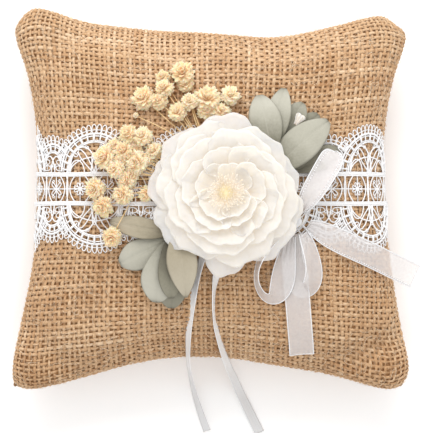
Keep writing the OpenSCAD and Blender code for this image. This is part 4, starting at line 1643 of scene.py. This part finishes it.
def stitch(out, seam, axis, place, reach, offsets, radius):
    """A short stitch at a place along a seam: three of the seam's points, each moved a little."""
    spots = along_line(seam, [place - reach, place, place + reach], seam[:, axis]) + offsets
    out.add(spline(spots, 4) * MM, radius * MM)


def thread_material(name, dark, light):
    twist = (6000, 2, 0.6, 0.5, 0.0001)
    return grained(name, dark, light, (2600, 3), twist, rough=0.7, sheen=0.2, specular=0.3).mat


thread = thread_material("sewing_thread", (222, 214, 198), (242, 236, 224))
jute_thread = thread_material("jute_thread", (170, 132, 94), (206, 170, 130))

binding = Cords(sides=6)
turn = np.linspace(0, 2 * np.pi, 33)[:-1]
for k in (-1, 0, 1):
    rise = k * 0.5 + 0.15 * np.sin(turn * 2 + k + 1)
    ring = KNOT + np.stack([3.25 * np.cos(turn), 2.95 * np.sin(turn), rise], 1)
    binding.add(ring * MM, 0.2 * MM, closed=True)
piece("bow_binding_thread", binding.mesh(), thread, ("bow_binding",))

# Slip stitches over the closed gap in the lower seam, and tacks at the lace's two ends
closing = Cords(sides=6)
for k in range(-5, 6):
    stitch(closing, front_panel[:, 0], 0, k * 6, 1.6, [[0, 1.5, 1.2], [0, 0.7, 0], [0, 1.5, -1.2]], 0.22)
piece("closing_slip_stitches", closing.mesh(), jute_thread, ("closing_stitches",))
tacks = Cords(sides=6)
for side, row in ((-1, 0), (1, -1)):
    offsets = [[-side * 1.2, 0, 1.6], [-side * 0.2, 0, 0.8], [-side * 0.9, 0, 0.0]]
    for k in range(-2, 3):
        stitch(tacks, front_panel[row], 1, LACE_Y + k * 11, 1.3, offsets, 0.2)
piece("lace_tack_stitches", tacks.mesh(), thread, ("lace_tacks",))

# ---------- looks of the part's own solids ----------


def solid_material(name, rough, scale, dark, light, bump, depth):
    relief = (scale * 3, 3, 0, bump, depth)
    return grained(name, dark, light, (scale, 3), relief, rough=rough, specular=0.4).mat


felt = solid_material("felt_white", 0.95, 1200, (236, 234, 228), (250, 249, 246), 0.8, 0.0004)
glue = solid_material("glue_set", 0.25, 300, (232, 224, 204), (244, 240, 228), 0.2, 0.0004)
pip = solid_material("pip_plastic", 0.4, 500, (244, 230, 184), (252, 242, 206), 0.15, 0.0002)
stem = solid_material("stem_plastic", 0.5, 900, (118, 126, 98), (150, 157, 128), 0.4, 0.0003)
for node, mat in (
    ("felt_disc", felt), ("glue_pad", glue), ("flower_pip", pip), ("upper_stem", stem),
    ("lower_stem", stem), ("upper_bud_stalk", stalk_mat), ("ribbon_tack", thread),
    ("seam_stitches", jute_thread),
):
    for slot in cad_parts[node].material_slots:
        slot.material = mat

# ---------- the small bud among the upper leaves ----------

BUD_FOOT, BUD_TIP = np.array([40.8, 34.6, 59.4]), np.array([45.6, 42.2, 59.4])
BUD_LENGTH = 8.8


def bud_mesh():
    """A closed bud, widening like a trumpet: five petals wrapped round one another."""
    petals = Petals()
    axis = unit(BUD_TIP - BUD_FOOT)
    around = spokes(axis, [0, 0, 1.0])
    r, a = np.linspace(0, 1, 9)[:, None], np.linspace(-1, 1, 7)[None, :]
    swell = 0.35 + 1.75 * r**1.4
    wide = 0.5 + 1.75 * r * (1.35 - 0.35 * r)
    for k in range(5):
        out, across = around(2 * np.pi * k / 5 + 0.3)
        rise = BUD_LENGTH * r * (1 - 0.12 * a * a + rng.uniform(-0.04, 0.04))
        side = swell - 0.3 * a * a * wide + 0.12 * a
        grid = BUD_FOOT + axis * rise[..., None] + out * side[..., None] + across * (a * wide)[..., None]
        petals.add(grid, 0.25, r)
    return petals.mesh()


piece("upper_bud_petals", bud_mesh(), petal_mat, ("upper_bud",))
